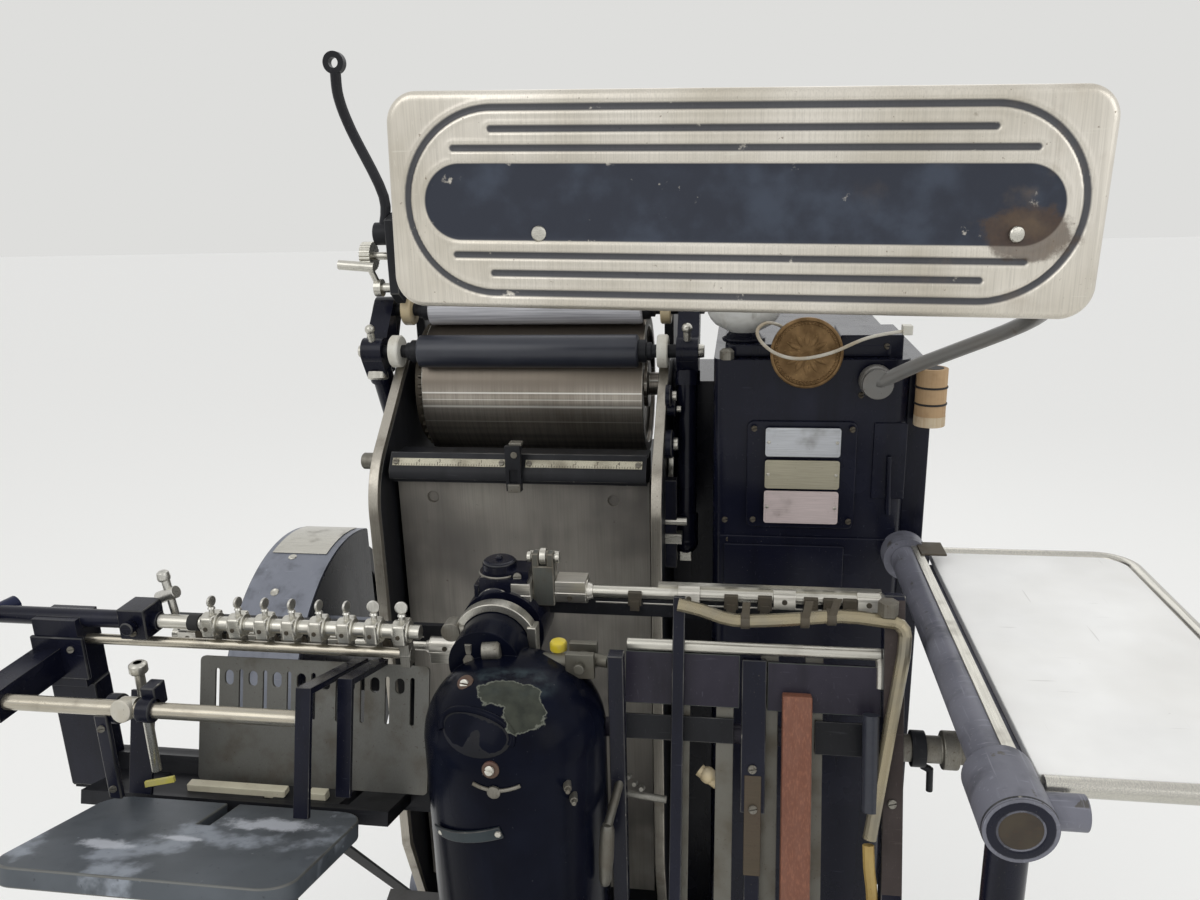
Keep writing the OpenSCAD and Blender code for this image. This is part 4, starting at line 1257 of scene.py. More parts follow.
@dataclass(frozen=True)
class SheetFinish(Finish):
    """Nickelled sheet whose grooves and middle band are painted dark, with rust at its right end."""

    centre: Point = ORIGIN
    droop: float = 0.0
    band: tuple[float, float] = (0.0, 0.0)
    rings: tuple[tuple[float, float, float, float], ...] = ()
    rust_spot: Point = (230.0, -22.0, 50.0)

    def pill(self, u: Value, v: Value, half: float, radius: float) -> Value:
        """Distance in metres from the outline of a pill about the sheet's middle, negative inside."""
        over = (u.size() - half * MM).most(0.0)
        return (over * over + v * v).power(0.5) - radius * MM

    def surface(self, graph: Graph) -> tuple[object, object, object, Value]:
        """Colour, roughness, metal and height, with paint and rust laid over the nickel."""
        colour, rough, metal, height = super().surface(graph)
        x, _, z = graph.axes()
        c, s = math.cos(math.radians(self.droop)), math.sin(math.radians(self.droop))
        dx, dz = x - self.centre[0] * MM, z - self.centre[2] * MM
        u, v = dx * c - dz * s, dx * s + dz * c
        worn = graph.noise(graph.place(), 46.0, 6.0, 0.6)
        inside = 1.0 - self.pill(u, v, *self.band).step(-0.0012, 0.0004)
        grooves = None
        for half, radius, middle, width in self.rings:
            line = self.pill(u, v - middle * MM, half, radius).size()
            mark = 1.0 - line.step(width * 0.6 * MM, width * 1.15 * MM)
            grooves = mark if grooves is None else grooves.most(mark)
        dark = inside.most(grooves * 0.92) * (1.0 - worn.step(0.66, 0.72) * 0.8)
        colour = graph.mix(dark, colour, rgba((30, 36, 50)))
        cloud = graph.noise(graph.place(), 22.0, 5.0).step(0.45, 0.75) * inside
        colour = graph.mix(cloud * 0.5, colour, rgba((66, 76, 92)))
        rough = rough + dark * 0.14
        metal = metal * (1.0 - dark * 0.85)
        ru, rv = u - self.rust_spot[0] * MM, v - self.rust_spot[1] * MM
        near = 1.0 - (ru * ru * 0.5 + rv * rv * 1.4).power(0.5).step(0.0, self.rust_spot[2] * MM)
        eaten = (near + graph.noise(graph.place(), 70.0, 7.0, 0.65) * 0.9).step(0.86, 1.12)
        rust = graph.mix(graph.noise(graph.place(), 260.0, 4.0), rgba((84, 64, 48)), rgba((60, 50, 43)))
        colour = graph.mix(eaten * 0.78, colour, rust)
        level = 1.0 - v.size().step(0.0, 0.2)
        spread = level * u.step(0.02, 0.28) * graph.noise(graph.place(), 34.0, 6.0).step(0.52, 0.8)
        colour = graph.mix(spread * 0.35, colour, rgba((124, 104, 76)))
        rough = rough + eaten * 0.3
        metal = metal * (1.0 - eaten * 0.7)
        height = height - eaten * 0.06
        return colour, rough, metal, height


@dataclass
class Guard:
    """The long pressed guard plate with its tube arm."""

    width: float = 572.0
    height: float = 176.0
    depth: float = 16.0
    corner: float = 26.0
    roll: float = 7.0
    centre: Point = (249.0, -164.0, 1470.0)
    droop: float = 1.6
    band: tuple[float, float] = (224.0, 31.5)
    press: float = 2.4
    groove_bead: Point = (0.55, 1.6, 1.5)
    band_bead: Point = (0.5, 2.6, 1.6)
    step: float = 1.8
    screws: tuple[tuple[float, float], ...] = ((-158.0, -25.0), (221.0, -22.0))

    def rings(self) -> tuple[tuple[float, float, float, float], ...]:
        """The grooves: half length, radius, middle height and half width."""
        outer = (195.0, 74.5, 0.0, 3.2)
        ribs = [(197.0 if k else 229.0, 0.0, s * (43.0 + 15.0 * k), 3.2) for s in (-1, 1) for k in (0, 1)]
        return (outer, *ribs)

    def relief(self, u: float, v: float) -> float:
        """How far the sheet stands back at a point of its face."""
        back = 0.0
        for half, radius, middle, width in self.rings():
            over = max(abs(u) - half, 0.0)
            line = abs(math.hypot(over, v - middle) - radius)
            if line < width:
                back = max(back, self.press * (1.0 - (line / width) ** 2) ** 0.5)
            back -= self.bead(line - width, *self.groove_bead)
        band = math.hypot(max(abs(u) - self.band[0], 0.0), v) - self.band[1]
        back += self.press * 0.8 * min(max(0.5 - band / 3.0, 0.0), 1.0)
        return back - self.bead(band, *self.band_bead)

    def bead(self, distance: float, height: float, middle: float, spread: float) -> float:
        """Height of the bead that the press raises beside a line, at a distance from the line's edge."""
        return height * math.exp(-(((distance - middle) / spread) ** 2))

    def samples(self, half: float) -> list[float]:
        """Places of the sheet's rows or columns, closer at the rolled rim."""
        rim = [0.0, 0.25, 0.8, 1.8, 3.2, 5.0, 7.0]
        inner = half - self.roll
        count = round(2 * inner / self.step)
        middle = [-inner + 2 * inner * k / count for k in range(1, count)]
        return [-half + r for r in rim] + middle + [half - r for r in reversed(rim)]

    def edge(self, u: float, v: float) -> float:
        """Distance from the rounded outline, inwards."""
        du, dv = abs(u) - (self.width / 2 - self.corner), abs(v) - (self.height / 2 - self.corner)
        if du > 0 and dv > 0:
            return self.corner - math.hypot(du, dv)
        return min(self.width / 2 - abs(u), self.height / 2 - abs(v))

    def sheet(self) -> bpy.types.Mesh:
        """The pressed sheet with its rolled rim and turned edge, in metres."""
        bm = bmesh.new()
        straight = self.width / 2 - self.corner
        rows = []
        for v in self.samples(self.height / 2):
            reach = self.width / 2
            over = abs(v) - (self.height / 2 - self.corner)
            if over > 0:
                reach = straight + math.sqrt(max(self.corner**2 - over**2, 0.0))
            row = []
            for u in self.samples(self.width / 2):
                if abs(u) > straight:
                    u = math.copysign(straight + (abs(u) - straight) * (reach - straight) / self.corner, u)
                inward = min(self.edge(u, v), self.roll)
                back = self.roll - math.sqrt(max(self.roll**2 - (self.roll - inward) ** 2, 0.0))
                row.append(bm.verts.new((u, back + self.relief(u, v), v)))
            rows.append(row)
        for low, high in zip(rows, rows[1:]):
            for k in range(len(low) - 1):
                bm.faces.new((low[k], low[k + 1], high[k + 1], high[k]))
        bmesh.ops.remove_doubles(bm, verts=bm.verts, dist=0.02)
        for back, shrink in ((self.depth - self.roll, 0.0), (0.0, 3.0)):
            rim = [e for e in bm.edges if e.is_boundary]
            grown = bmesh.ops.extrude_edge_only(bm, edges=rim)["geom"]
            for vert in (g for g in grown if isinstance(g, bmesh.types.BMVert)):
                vert.co.y += back
                vert.co.x *= 1 - shrink / (self.width / 2)
                vert.co.z *= 1 - shrink / (self.height / 2)
        bmesh.ops.recalc_face_normals(bm, faces=bm.faces)
        turn = Matrix.Rotation(math.radians(self.droop), 4, "Y")
        bmesh.ops.transform(bm, matrix=Matrix.Translation(Vector(self.centre)) @ turn, verts=bm.verts)
        bmesh.ops.scale(bm, vec=(MM, MM, MM), verts=bm.verts)
        front = min(bm.faces, key=lambda f: f.calc_center_median().y)
        if front.normal.y > 0:
            bmesh.ops.reverse_faces(bm, faces=bm.faces)
        made = bpy.data.meshes.new("guard_sheet")
        bm.to_mesh(made)
        bm.free()
        return made

    def on_face(self, u: float, v: float, out: float) -> Point:
        """A point over the sheet's face."""
        c, s = math.cos(math.radians(self.droop)), math.sin(math.radians(self.droop))
        return (self.centre[0] + u * c + v * s, self.centre[1] - out, self.centre[2] + v * c - u * s)

    def build(self, shop: Workshop) -> None:
        """Makes the sheet, its screws and the arm's finish."""
        finish = SheetFinish(
            "nickelled_sheet",
            "nickel_sheet",
            (238, 232, 220),
            0.3,
            metal=0.7,
            grain=0.03,
            centre=self.centre,
            droop=self.droop,
            band=self.band,
            rings=self.rings(),
            layers=(
                Layer(Pattern.CLOUDS, (150, 140, 116), 9.0, 0.4, 0.5, 0.5, 0.4, seed=2.0),
                Layer(Pattern.BRUSHED, (150, 146, 136), 900.0, 0.4, 0.5, 0.3, 0.38, along=Axis.Z),
                Layer(Pattern.CHIPS, (96, 84, 64), 40.0, 0.09, 0.08, 0.7, 0.55, 0.4, seed=6.0),
                Layer(Pattern.SPECKS, (92, 72, 50), 240.0, 0.1, 0.08, 0.6, 0.6, 0.4, seed=8.0),
                Layer(Pattern.SCRATCHES, (222, 218, 206), 500.0, 0.1, 0.05, 0.4, 0.3, seed=4.0),
            ),
        )
        piece = shop.add("guard_sheet", self.sheet(), finish, ("guard_plate",), bevel=0.0, angle=60.0)
        wall = piece.modifiers.new("wall", "SOLIDIFY")
        wall.thickness = 1.4 * MM
        wall.offset = -1.0
        spots = [self.on_face(u, v, -2.2) for u, v in self.screws]
        disc = Shape().lathe([(6.4, 0.0), (6.4, 1.6), (5.6, 2.6), (3.0, 3.0)], ORIGIN, UP, 28)
        shop.copy("guard_screws", Rule.SPOTS, disc, FIN.steel, turn=(90, 0, 20), spots=spots, body="guard", bevel=0.0)
        shop.recast("guard_arm", TUBE, 0.0)
        collar = Shape().rod((400.0, 41.0, 1279.0), (400.0, 33.0, 1279.0), 15.8)
        collar.lathe([(17.5, 0.0), (17.5, 9.0), (15.6, 13.0)], (400.0, 55.5, 1279.0), FRONT)
        shop.add("guard_arm_collar", collar, TUBE, body="guard", bevel=0.8)


@dataclass
class InkTrain:
    """Drum, gear, form rollers, trucks and the arms that carry them."""

    drum_y: float = 260.0
    drum_z: float = 1230.0
    drum_length: float = 282.0
    gear_width: float = 11.0
    gear_radius: float = 80.0
    teeth: int = 40
    truck_x: float = 160.0
    arm_x: float = 196.0
    lower: tuple[float, float] = (167.4, 1290.1)
    upper: tuple[float, float] = (224.1, 1334.4)
    roller_length: float = 275.0

    def build(self, shop: Workshop) -> None:
        """Makes the whole train."""
        self.drum(shop)
        self.rollers(shop)
        self.arms(shop)

    def drum(self, shop: Workshop) -> None:
        """The ground drum and the gear at its left end."""
        # The drum's finish carries painted shade over its top and painted reflection lines.
        steel = DrumFinish(
            "drum_steel_lined", "drum_steel", (206, 198, 186), 0.3, metal=0.9, grain=0.012, layers=FIN.drum.layers
        )
        shop.recast("ink_drum", steel, 1.2, FIN.steel)
        left = -self.drum_length / 2
        wheel = Shape().rod(
            (left - self.gear_width, self.drum_y, self.drum_z), (left, self.drum_y, self.drum_z), 81.5, steps=80
        )
        wheel.lathe([(30.0, 0.0), (30.0, 6.0), (26.0, 8.0)], (left - self.gear_width, self.drum_y, self.drum_z), LEFT)
        shop.add("gear_wheel", wheel, FIN.gear, ("drum_gear",), bevel=0.6)
        flank = [(-3.4, -3.0), (3.4, -3.0), (2.6, 4.0), (1.5, 7.6), (-1.5, 7.6), (-2.6, 4.0)]
        tooth = Shape().prism(flank, (self.gear_radius, 0.0, -self.gear_width / 2), BACK, RIGHT, -self.gear_width)
        bmesh.ops.translate(tooth.bm, vec=(-self.gear_radius, 0.0, 0.0), verts=tooth.bm.verts)
        bmesh.ops.recalc_face_normals(tooth.bm, faces=tooth.bm.faces)
        shop.copy(
            "gear_teeth",
            Rule.RING,
            tooth,
            FIN.gear,
            count=self.teeth,
            start=(left, self.drum_y, self.drum_z),
            turn=(0, 90, 0),
            radius=self.gear_radius,
            body="ink_cylinder",
            bevel=0.3,
        )

    def rollers(self, shop: Workshop) -> None:
        """Rubber sleeves on turned spindles, and their nylon trucks."""
        # The upper roller's rubber is much paler than the lower one's. Partly this is its own grey, and partly
        # painted light: a painted highlight that lifts it out of the guard's shade.
        grey = replace(RUBBER, name="grey_rubber_painted_lighter", colour=(208, 208, 213), rough=0.2, layers=RUBBER.layers[:1])
        for name, (y, z), finish, trucks in (
            ("lower", self.lower, RUBBER, NYLON),
            ("upper", self.upper, grey, CREAM),
        ):
            half = self.roller_length / 2
            sleeve = Shape().lathe(
                [
                    (17.0, 0.0), (19.6, 1.5), (20.0, 3.0), (20.0, 2 * half - 3), (19.6, 2 * half - 1.5),
                    (17.0, 2 * half),
                ],
                (-half, y, z),
                RIGHT,
                56,
            )
            shop.add(f"{name}_sleeve", sleeve, finish, (f"{name}_form_roller",), bevel=0.0, angle=50.0)
            spindle = Shape()
            for side in (-1.0, 1.0):
                profile = [
                    (14.0, 0.0), (14.0, 9.0), (11.0, 10.0), (11.0, 15.0), (8.0, 16.0), (8.0, 63.0), (7.0, 64.0)
                ]
                spindle.lathe(profile, (side * half, y, z), (side, 0.0, 0.0), 32)
            shop.add(f"{name}_spindle", spindle, FIN.iron, body=f"{name}_roller", bevel=0.4)
            wheels = Shape()
            for side in (-1.0, 1.0):
                x = side * self.truck_x
                rim = [
                    (8.3, 0.0), (18.6, 0.0), (20.0, 1.4), (20.0, 11.6), (18.6, 13.0), (14.0, 13.0), (13.0, 11.4),
                    (8.3, 11.4),
                ]
                wheels.lathe(rim, (x, y, z), (side, 0.0, 0.0), 40)
            shop.add(f"{name}_truck_wheels", wheels, trucks, (f"{name}_trucks",), bevel=0.0, angle=30.0)

    def arms(self, shop: Workshop) -> None:
        """The two black arms with their saddles, clamps and joints."""
        for node in ("left_roller_arm", "right_roller_arm"):
            shop.recast(node, FIN.black, 0.9, FIN.edge)
        y, z = self.lower
        fittings = Shape()
        for side in (-1.0, 1.0):
            x = side * self.arm_x
            fittings.lathe([(13.2, 0.0), (13.2, 9.0), (11.0, 11.0)], (x, y + 4, z - 26), (0.0, -0.2, -1.0), 28)
            fittings.rod((x + side * 13, y, z), (x + side * 20, y, z), 8.5, 7.5)
            fittings.rod((x + side * 13, *self.upper), (x + side * 18, *self.upper), 8.0)
            fittings.rod((x, y - 6, z + 12), (x, y - 10, z + 27), 4.6)
            fittings.ball((x, y - 10, z + 29), 6.4, 16)
        fittings.box((189.0, 118.0, 1040.0), (203.0, 136.0, 1056.0))
        fittings.rod((184.0, 127.0, 1062.0), (208.0, 127.0, 1062.0), 6.5)
        shop.add("arm_fittings", fittings, FIN.steel, bevel=0.6)
        shop.copy(
            "saddle_nuts",
            Rule.SPOTS,
            hex_head(6.5, 6.0),
            FIN.worn,
            turn=(0, 90, 0),
            spots=[(209.0, *self.lower), (209.0, *self.upper)],
            bevel=0.3,
        )


@dataclass
class TypeBed:
    """Bed, side frames, tracks and the chase clamp bar with its rule."""

    bed_top: float = 1146.0
    bed_y: float = 100.0
    half: float = 155.0
    bar_height: float = 38.0
    lip: float = 19.0
    slope: float = 53.0
    cheek: float = 173.0

    def build(self, shop: Workshop) -> None:
        """Makes the bed's pieces."""
        shop.recast("bed_plate", BED, 1.2, FIN.worn)
        shop.recast("main_body", FIN.iron, 3.0, FIN.edge)
        shop.recast("base_frame", FIN.iron, 3.0, FIN.edge)
        # A lighter copy of the edge finish for the side frames: worn metal and painted highlights on their edges.
        dark = replace(FIN.edge, name="frame_edge", colour=(84, 82, 80))
        for node in ("left_side_frame", "right_side_frame"):
            shop.recast(node, FIN.iron, 1.0, dark)
        shop.recast("roller_tracks", FIN.rail, 0.9)
        self.bar(shop)
        self.lug(shop)
        self.rule(shop)
        self.bosses(shop)

    def lug(self, shop: Workshop) -> None:
        """The clamp's lug with two steel tips."""
        shop.recast("chase_clamp_lug", FIN.iron, 0.8, FIN.edge)
        top = self.bed_top + self.bar_height
        tips = Shape().box(
            (-7.0, self.bed_y - 40.0, self.bed_top - 3.0), (8.0, self.bed_y - 30.5, self.bed_top + 7.0)
        )
        tips.box((-5.0, self.bed_y - 32.0, top + 13.0), (10.0, self.bed_y - 20.0, top + 17.0))
        tips.rod((2.0, self.bed_y - 38.5, top + 4.0), (2.0, self.bed_y - 34.0, top + 4.0), 4.0)
        shop.add("lug_tips", tips, FIN.worn, bevel=0.8)

    def on_slope(self, x: float, up: float, out: float) -> Point:
        """A point of the bar's sloped face, at a distance up it and off it."""
        c, s = math.cos(math.radians(self.slope)), math.sin(math.radians(self.slope))
        return (x, self.bed_y - 30.0 + up * c - out * s, self.bed_top + self.lip + up * s + out * c)

    def bar(self, shop: Workshop) -> None:
        """The clamp bar with its sloped face."""
        y, z = self.bed_y - 30.0, self.bed_top
        outline = [
            (0.0, 8.0), (11.0, 8.0), (11.0, 1.0), (61.0, 1.0), (61.0, 31.0), (20.0, 31.0), (18.0, 37.6),
            (14.0, 37.6), (0.0, self.lip),
        ]
        bar = Shape().prism(outline, (-self.half + 1.0, y, z), BACK, UP, 2 * self.half - 2.0)
        shop.add("clamp_bar", bar, FIN.iron, ("chase_clamp_bar",), bevel=0.9, edge=FIN.edge)

    def rule(self, shop: Workshop) -> None:
        """Two ruler strips with ticks and numbers along the clamp bar's slope."""
        across = tuple(Vector(self.on_slope(0.0, 1.0, 0.0)) - Vector(self.on_slope(0.0, 0.0, 0.0)))
        strips = Shape()
        spans = ((-self.half + 5.0, -12.0), (12.0, self.half - 6.0))
        low_edge, high_edge = 6.0, 15.5
        for low, high in spans:
            outline = oblong(high - low, high_edge - low_edge)
            strips.prism(outline, self.on_slope(low, low_edge, -0.6), RIGHT, across, 1.5)
        pale = replace(FIN.zinc, name="ruler_strip", colour=(214, 208, 184), metal=0.35)
        shop.add("ruler_strips", strips, pale, bevel=0.25)
        dark = replace(FIN.gear, name="ruler_marks", colour=(46, 44, 42), metal=0.1)
        for side, name in ((-1.0, "left"), (1.0, "right")):
            start = self.on_slope(side * 18.0, low_edge + 0.3, 0.88)
            for label, wide, tall, count, pitch in (("ticks", 0.3, 2.4, 40, 3.175), ("inches", 0.4, 4.6, 6, 25.4)):
                mark = Shape().box((-wide, 0.0, 0.0), (wide, tall, 0.14))
                shop.copy(
                    f"ruler_{label}_{name}",
                    Rule.ROW,
                    mark,
                    dark,
                    count=count,
                    start=start,
                    step=(side * pitch, 0.0, 0.0),
                    turn=(self.slope, 0, 0),
                    bevel=0.0,
                )
            for number in range(1, 6):
                spot = self.on_slope(side * (18.0 + 25.4 * number) + 0.9, low_edge + 4.0, 0.9)
                shop.write(f"ruler_{name}_{number}", str(number), spot, 6.2, dark, self.slope)
        spots = [
            self.on_slope(x, (low_edge + high_edge) / 2, 0.8) for low, high in spans for x in (low + 4.5, high - 4.5)
        ]
        shop.screws("ruler_screws", (3.4, 1.8, 0.8), FIN.worn, (self.slope, 0, 0), spots, 0.2)

    def bosses(self, shop: Workshop) -> None:
        """Bearings, bolts and levers on the outside of the side frames."""
        steel_parts, black = Shape(), Shape()
        for side in (-1.0, 1.0):
            way = (side, 0.0, 0.0)
            start = side * self.cheek
            black.lathe([(34.0, 0.0), (34.0, 5.0), (26.0, 8.0), (20.0, 8.0)], (start, 262.0, 1228.0), way, 40)
            steel_parts.lathe([(11.0, 7.0), (11.0, 9.6)], (start, 262.0, 1228.0), way, 24)
        for y, z, radius, depth in (
            (120.0, 1246.0, 13.0, 8.0), (138.0, 1226.0, 9.0, 12.0), (112.0, 1190.0, 17.0, 10.0)
        ):
            black.lathe([(radius, 0.0), (radius, depth - 2), (radius - 3, depth)], (self.cheek, y, z), RIGHT, 28)
            steel_parts.rod(
                (self.cheek + depth - 0.5, y, z), (self.cheek + depth + 5.0, y, z), radius * 0.45, steps=20
            )
        quadrant = arc(34.0, range(-100, 31, 10)) + arc(22.0, range(30, -101, -10))
        steel_parts.prism(quadrant, (self.cheek + 2.0, 112.0, 1168.0), BACK, UP, 6.0)
        steel_parts.rod((self.cheek, 100.0, 1098.0), (self.cheek + 26.0, 100.0, 1098.0), 5.0)
        steel_parts.box((self.cheek, 92.0, 1072.0), (self.cheek + 20.0, 108.0, 1084.0))
        black.box((self.cheek, 96.0, 1040.0), (self.cheek + 14.0, 112.0, 1150.0))
        shop.add("frame_bosses", black, FIN.black, bevel=0.8, edge=FIN.edge)
        shop.add("frame_pins", steel_parts, FIN.steel, bevel=0.6)
        stub = Shape().rod((-self.cheek - 27.6, 112.0, 1163.0), (-self.cheek - 0.4, 112.0, 1163.0), 10.2)
        stub.rod((-self.cheek - 29.2, 112.0, 1163.0), (-self.cheek - 27.0, 112.0, 1163.0), 8.6)
        shop.add("stub_shaft", stub, FIN.worn, bevel=0.8)
        places = ((200, 640), (360, 640), (220, 1090), (370, 1090))
        shop.side_bolts("frame_bolts", (10.0, 8.0), self.cheek + 0.2, places, 0.5)


@dataclass
class Rotor:
    """The gripper rotor on the dome's nose, its two arms and their grippers."""

    hub: Point = (30.0, -106.0, 1066.0)
    block: float = 26.0
    rod_height: float = 34.0
    barrel_top: float = 62.0
    collars: tuple[float, ...] = (146.0, 237.0, 315.0)
    fingers: tuple[float, ...] = (97.0, 190.0, 222.0, 265.0, 283.0, 301.0)

    def build(self, shop: Workshop) -> None:
        """Makes the rotor and both arms' fittings, half a turn apart."""
        shop.recast("gripper_hub", FIN.black, 2.0, FIN.edge)
        shop.recast("gripper_arms", FIN.steel, 0.8)
        shop.recast("gripper_bars", FIN.iron, 0.7, FIN.edge)
        for k in (0, 1):
            self.sleeves(shop, k)
            self.lever(shop, k)
            self.hub_details(shop, k)
            self.grippers(shop, k)

    @property
    def root(self) -> float:
        """X at which the first arm leaves the hub."""
        return self.hub[0] + self.block

    @property
    def line(self) -> float:
        """Height of the first arm's rod."""
        return self.hub[2] + self.rod_height

    def place(
        self,
        shop: Workshop,
        name: str,
        shape: Shape,
        k: int,
        finish: Finish,
        bevel: float,
        edge: Finish | None = None,
    ) -> None:
        """Adds a piece of the first arm, turned to where arm k stands."""
        turned = shape.turn(180.0 * k, Axis.Y, self.hub)
        shop.add(f"{name}_{k}", turned, finish, body="gripper_rotor", bevel=bevel, edge=edge)

    def sleeves(self, shop: Workshop, k: int) -> None:
        """The clamp sleeves, the rod's washer, the thin rod and the collars."""
        root, y, line = self.root, self.hub[1], self.line
        bright_parts = Shape()
        self.sleeve(bright_parts, root - 16.0, root + 3.4, y - 11.4, line + 1.0)
        self.sleeve(bright_parts, root + 25.4, root + 56.0, y, line)
        bright_parts.rod((root + 56.0, y, line), (root + 62.0, y, line), 9.5, 7.2)
        bright_parts.rod((root + 64.0, y - 1.0, line - 10.4), (root + 330.0, y - 1.0, line - 10.4), 2.2, steps=14)
        outline = [(-10.4, -7.0), (10.4, -7.0), (10.4, 3.0), (8.0, 6.4), (-8.0, 6.4), (-10.4, 3.0)]
        for low in self.collars:
            bright_parts.prism(outline, (root + low, y, line), BACK, UP, 21.0)
        pale = replace(FIN.steel, name="arm_steel", colour=(236, 232, 222), rough=0.3)
        self.place(shop, "arm_sleeves", bright_parts, k, pale, 1.2)

    def lever(self, shop: Workshop, k: int) -> None:
        """The upright lever between the sleeves, with the roller in its fork."""
        root, y, line = self.root, self.hub[1], self.line
        lever = Shape().box((root + 3.6, y - 13.4, line - 12.0), (root + 25.2, y - 4.0, line + 30.0))
        for side in (root + 3.6, root + 18.2):
            lever.box((side, y - 13.4, line + 29.0), (side + 7.0, y - 2.0, line + 43.0))
        finish = replace(FIN.zinc, name="lever_zinc", colour=(104, 108, 104))
        self.place(shop, "arm_lever", lever, k, finish, 1.4, FIN.worn)
        roller = Shape().rod((root + 11.2, y - 6.0, line + 38.0), (root + 17.6, y - 6.0, line + 38.0), 8.4, steps=32)
        roller.rod((root + 0.2, y - 7.0, line + 37.5), (root + 29.0, y - 7.0, line + 37.5), 3.4, steps=20)
        for end in (root - 1.6, root + 26.4):
            roller.rod((end, y - 7.0, line + 37.5), (end + 4.2, y - 7.0, line + 37.5), 5.4, steps=24)
        self.place(shop, "lever_roller", roller, k, FIN.steel, 0.8)

    def hub_details(self, shop: Workshop, k: int) -> None:
        """The barrel's cap with its pin and side lug, the front boss, and the ring under the cap."""
        x, y, z = self.hub
        top = z + self.barrel_top
        black = Shape().lathe([(16.2, 0.0), (16.2, 1.6), (13.0, 3.6)], (x - 6.0, y, top - 0.2), UP, 36)
        black.lathe([(3.4, 3.0), (3.4, 5.0), (2.0, 7.0)], (x - 6.0, y, top), UP, 20)
        black.rod((x - 24.5, y - 10.0, z + 24.0), (x - 31.0, y - 12.0, z + 24.0), 5.4, 4.0, 20)
        black.box((x - 29.0, y - 18.0, z + 12.0), (x - 23.5, y + 16.0, z + 44.0))
        black.lathe([(19.0, 0.0), (19.0, 5.0), (14.0, 8.0)], (x - 6.0, y - 21.0, z + 26.0), FRONT, 32)
        self.place(shop, "hub_details", black, k, FIN.black, 0.8, FIN.edge)
        ring = Shape().lathe([(20.3, 0.0), (20.9, 0.8), (20.9, 2.0), (20.3, 2.8)], (x - 6.0, y, z + 51.0), UP, 48)
        self.place(shop, "barrel_ring", ring, k, FIN.worn, 0.2)

    def grippers(self, shop: Workshop, k: int) -> None:
        """The fingers' clips, and the screws of the collars and the hub."""
        x, y, z = self.hub
        root, line, top = self.root, self.line, z + self.barrel_top
        clips = Shape()
        for start in self.fingers:
            low = root + start
            clips.box((low + 0.5, y - 12.0, line - 9.0), (low + 13.5, y - 6.5, line + 5.0))
            clips.box((low + 2.5, y - 13.2, line - 14.0), (low + 11.5, y - 11.0, line - 3.0))
        self.place(shop, "finger_clips", clips, k, FIN.gear, 0.5)
        places = [(root + low + 10.5, y - 10.3, line) for low in self.collars]
        places += [(root - 6.0, y - 23.9, line - 2.0), (root + 40.0, y - 12.3, line - 3.0)]
        cap = [(x + 15.0, y - 14.6, top - 9.0), (x - 20.0, y - 14.4, top - 14.0)]
        rides = {"move": self.half_turn(k), "body": "gripper_rotor"}
        shop.screws(f"collar_screws_{k}", (2.6, 1.2, 0.8), FIN.gear, (90, 0, 0), places, 0.15, **rides)
        shop.screws(f"hub_screws_{k}", (4.2, 3.4, 1.0), FIN.worn, (80, 0, 10), cap, 0.3, **rides)

    def half_turn(self, k: int) -> Matrix:
        """The turn of the second arm about the hub, in metres."""
        centre = Matrix.Translation(Vector(self.hub) * MM)
        return centre @ Matrix.Rotation(math.pi * k, 4, "Y") @ centre.inverted()

    def sleeve(self, shape: Shape, low: float, high: float, y: float, z: float) -> None:
        """A clamp sleeve: round below, square above, with a slit along its front."""
        half = 12.4
        outline = arc(half, range(180, 361, 15)) + [(half, 4.0), (half, 14.0), (-half, 14.0), (-half, 4.0)]
        shape.prism(outline, (low, y, z), BACK, UP, high - low)
        shape.box((low - 0.4, y - half - 0.5, z + 1.2), (high + 0.4, y - half + 1.0, z + 2.4))


@dataclass(frozen=True)
class DomeFinish(Finish):
    """Gloss black-blue enamel rubbed down to the primer on the dome's brow."""

    rubbed: tuple[tuple[Point, Point], ...] = (
        ((66.0, -258.0, 1071.0), (31.0, 15.0, 9.0)),
        ((84.0, -275.0, 1064.0), (17.0, 18.0, 16.0)),
    )
    clouded: Point = (66.0, -246.0, 1076.0)
    cloud_reach: Point = (46.0, 26.0, 16.0)

    def surface(self, graph: Graph) -> tuple[object, object, object, Value]:
        """Colour, roughness, metal and height, with the rubbed places laid over the enamel."""
        colour, rough, metal, height = super().surface(graph)
        axes = graph.axes()
        wobble = (graph.noise(graph.place(), 60.0, 6.0, 0.6) - 0.5) * 1.3
        bare = None
        for centre, reach in self.rubbed:
            far = graph.far(axes, centre, reach) + wobble
            bare = far if bare is None else bare.least(far)
        rim = 1.0 - (bare - 0.98).size().step(0.0, 0.07)
        inside = 1.0 - bare.step(0.94, 1.0)
        haze = 1.0 - graph.far(axes, self.clouded, self.cloud_reach).step(0.5, 1.1)
        haze = haze * graph.noise(graph.place(), 34.0, 6.0, 0.6).step(0.4, 0.66)
        colour = graph.mix(haze * 0.75, colour, rgba((64, 76, 80)))
        primer = graph.mix(graph.noise(graph.place(), 90.0, 5.0), rgba((38, 41, 38)), rgba((84, 87, 76)))
        colour = graph.mix(inside * 0.75, colour, primer)
        colour = graph.mix(rim * 0.5, colour, rgba((138, 141, 128)))
        return colour, rough + inside * 0.22, metal, height - inside * 0.25


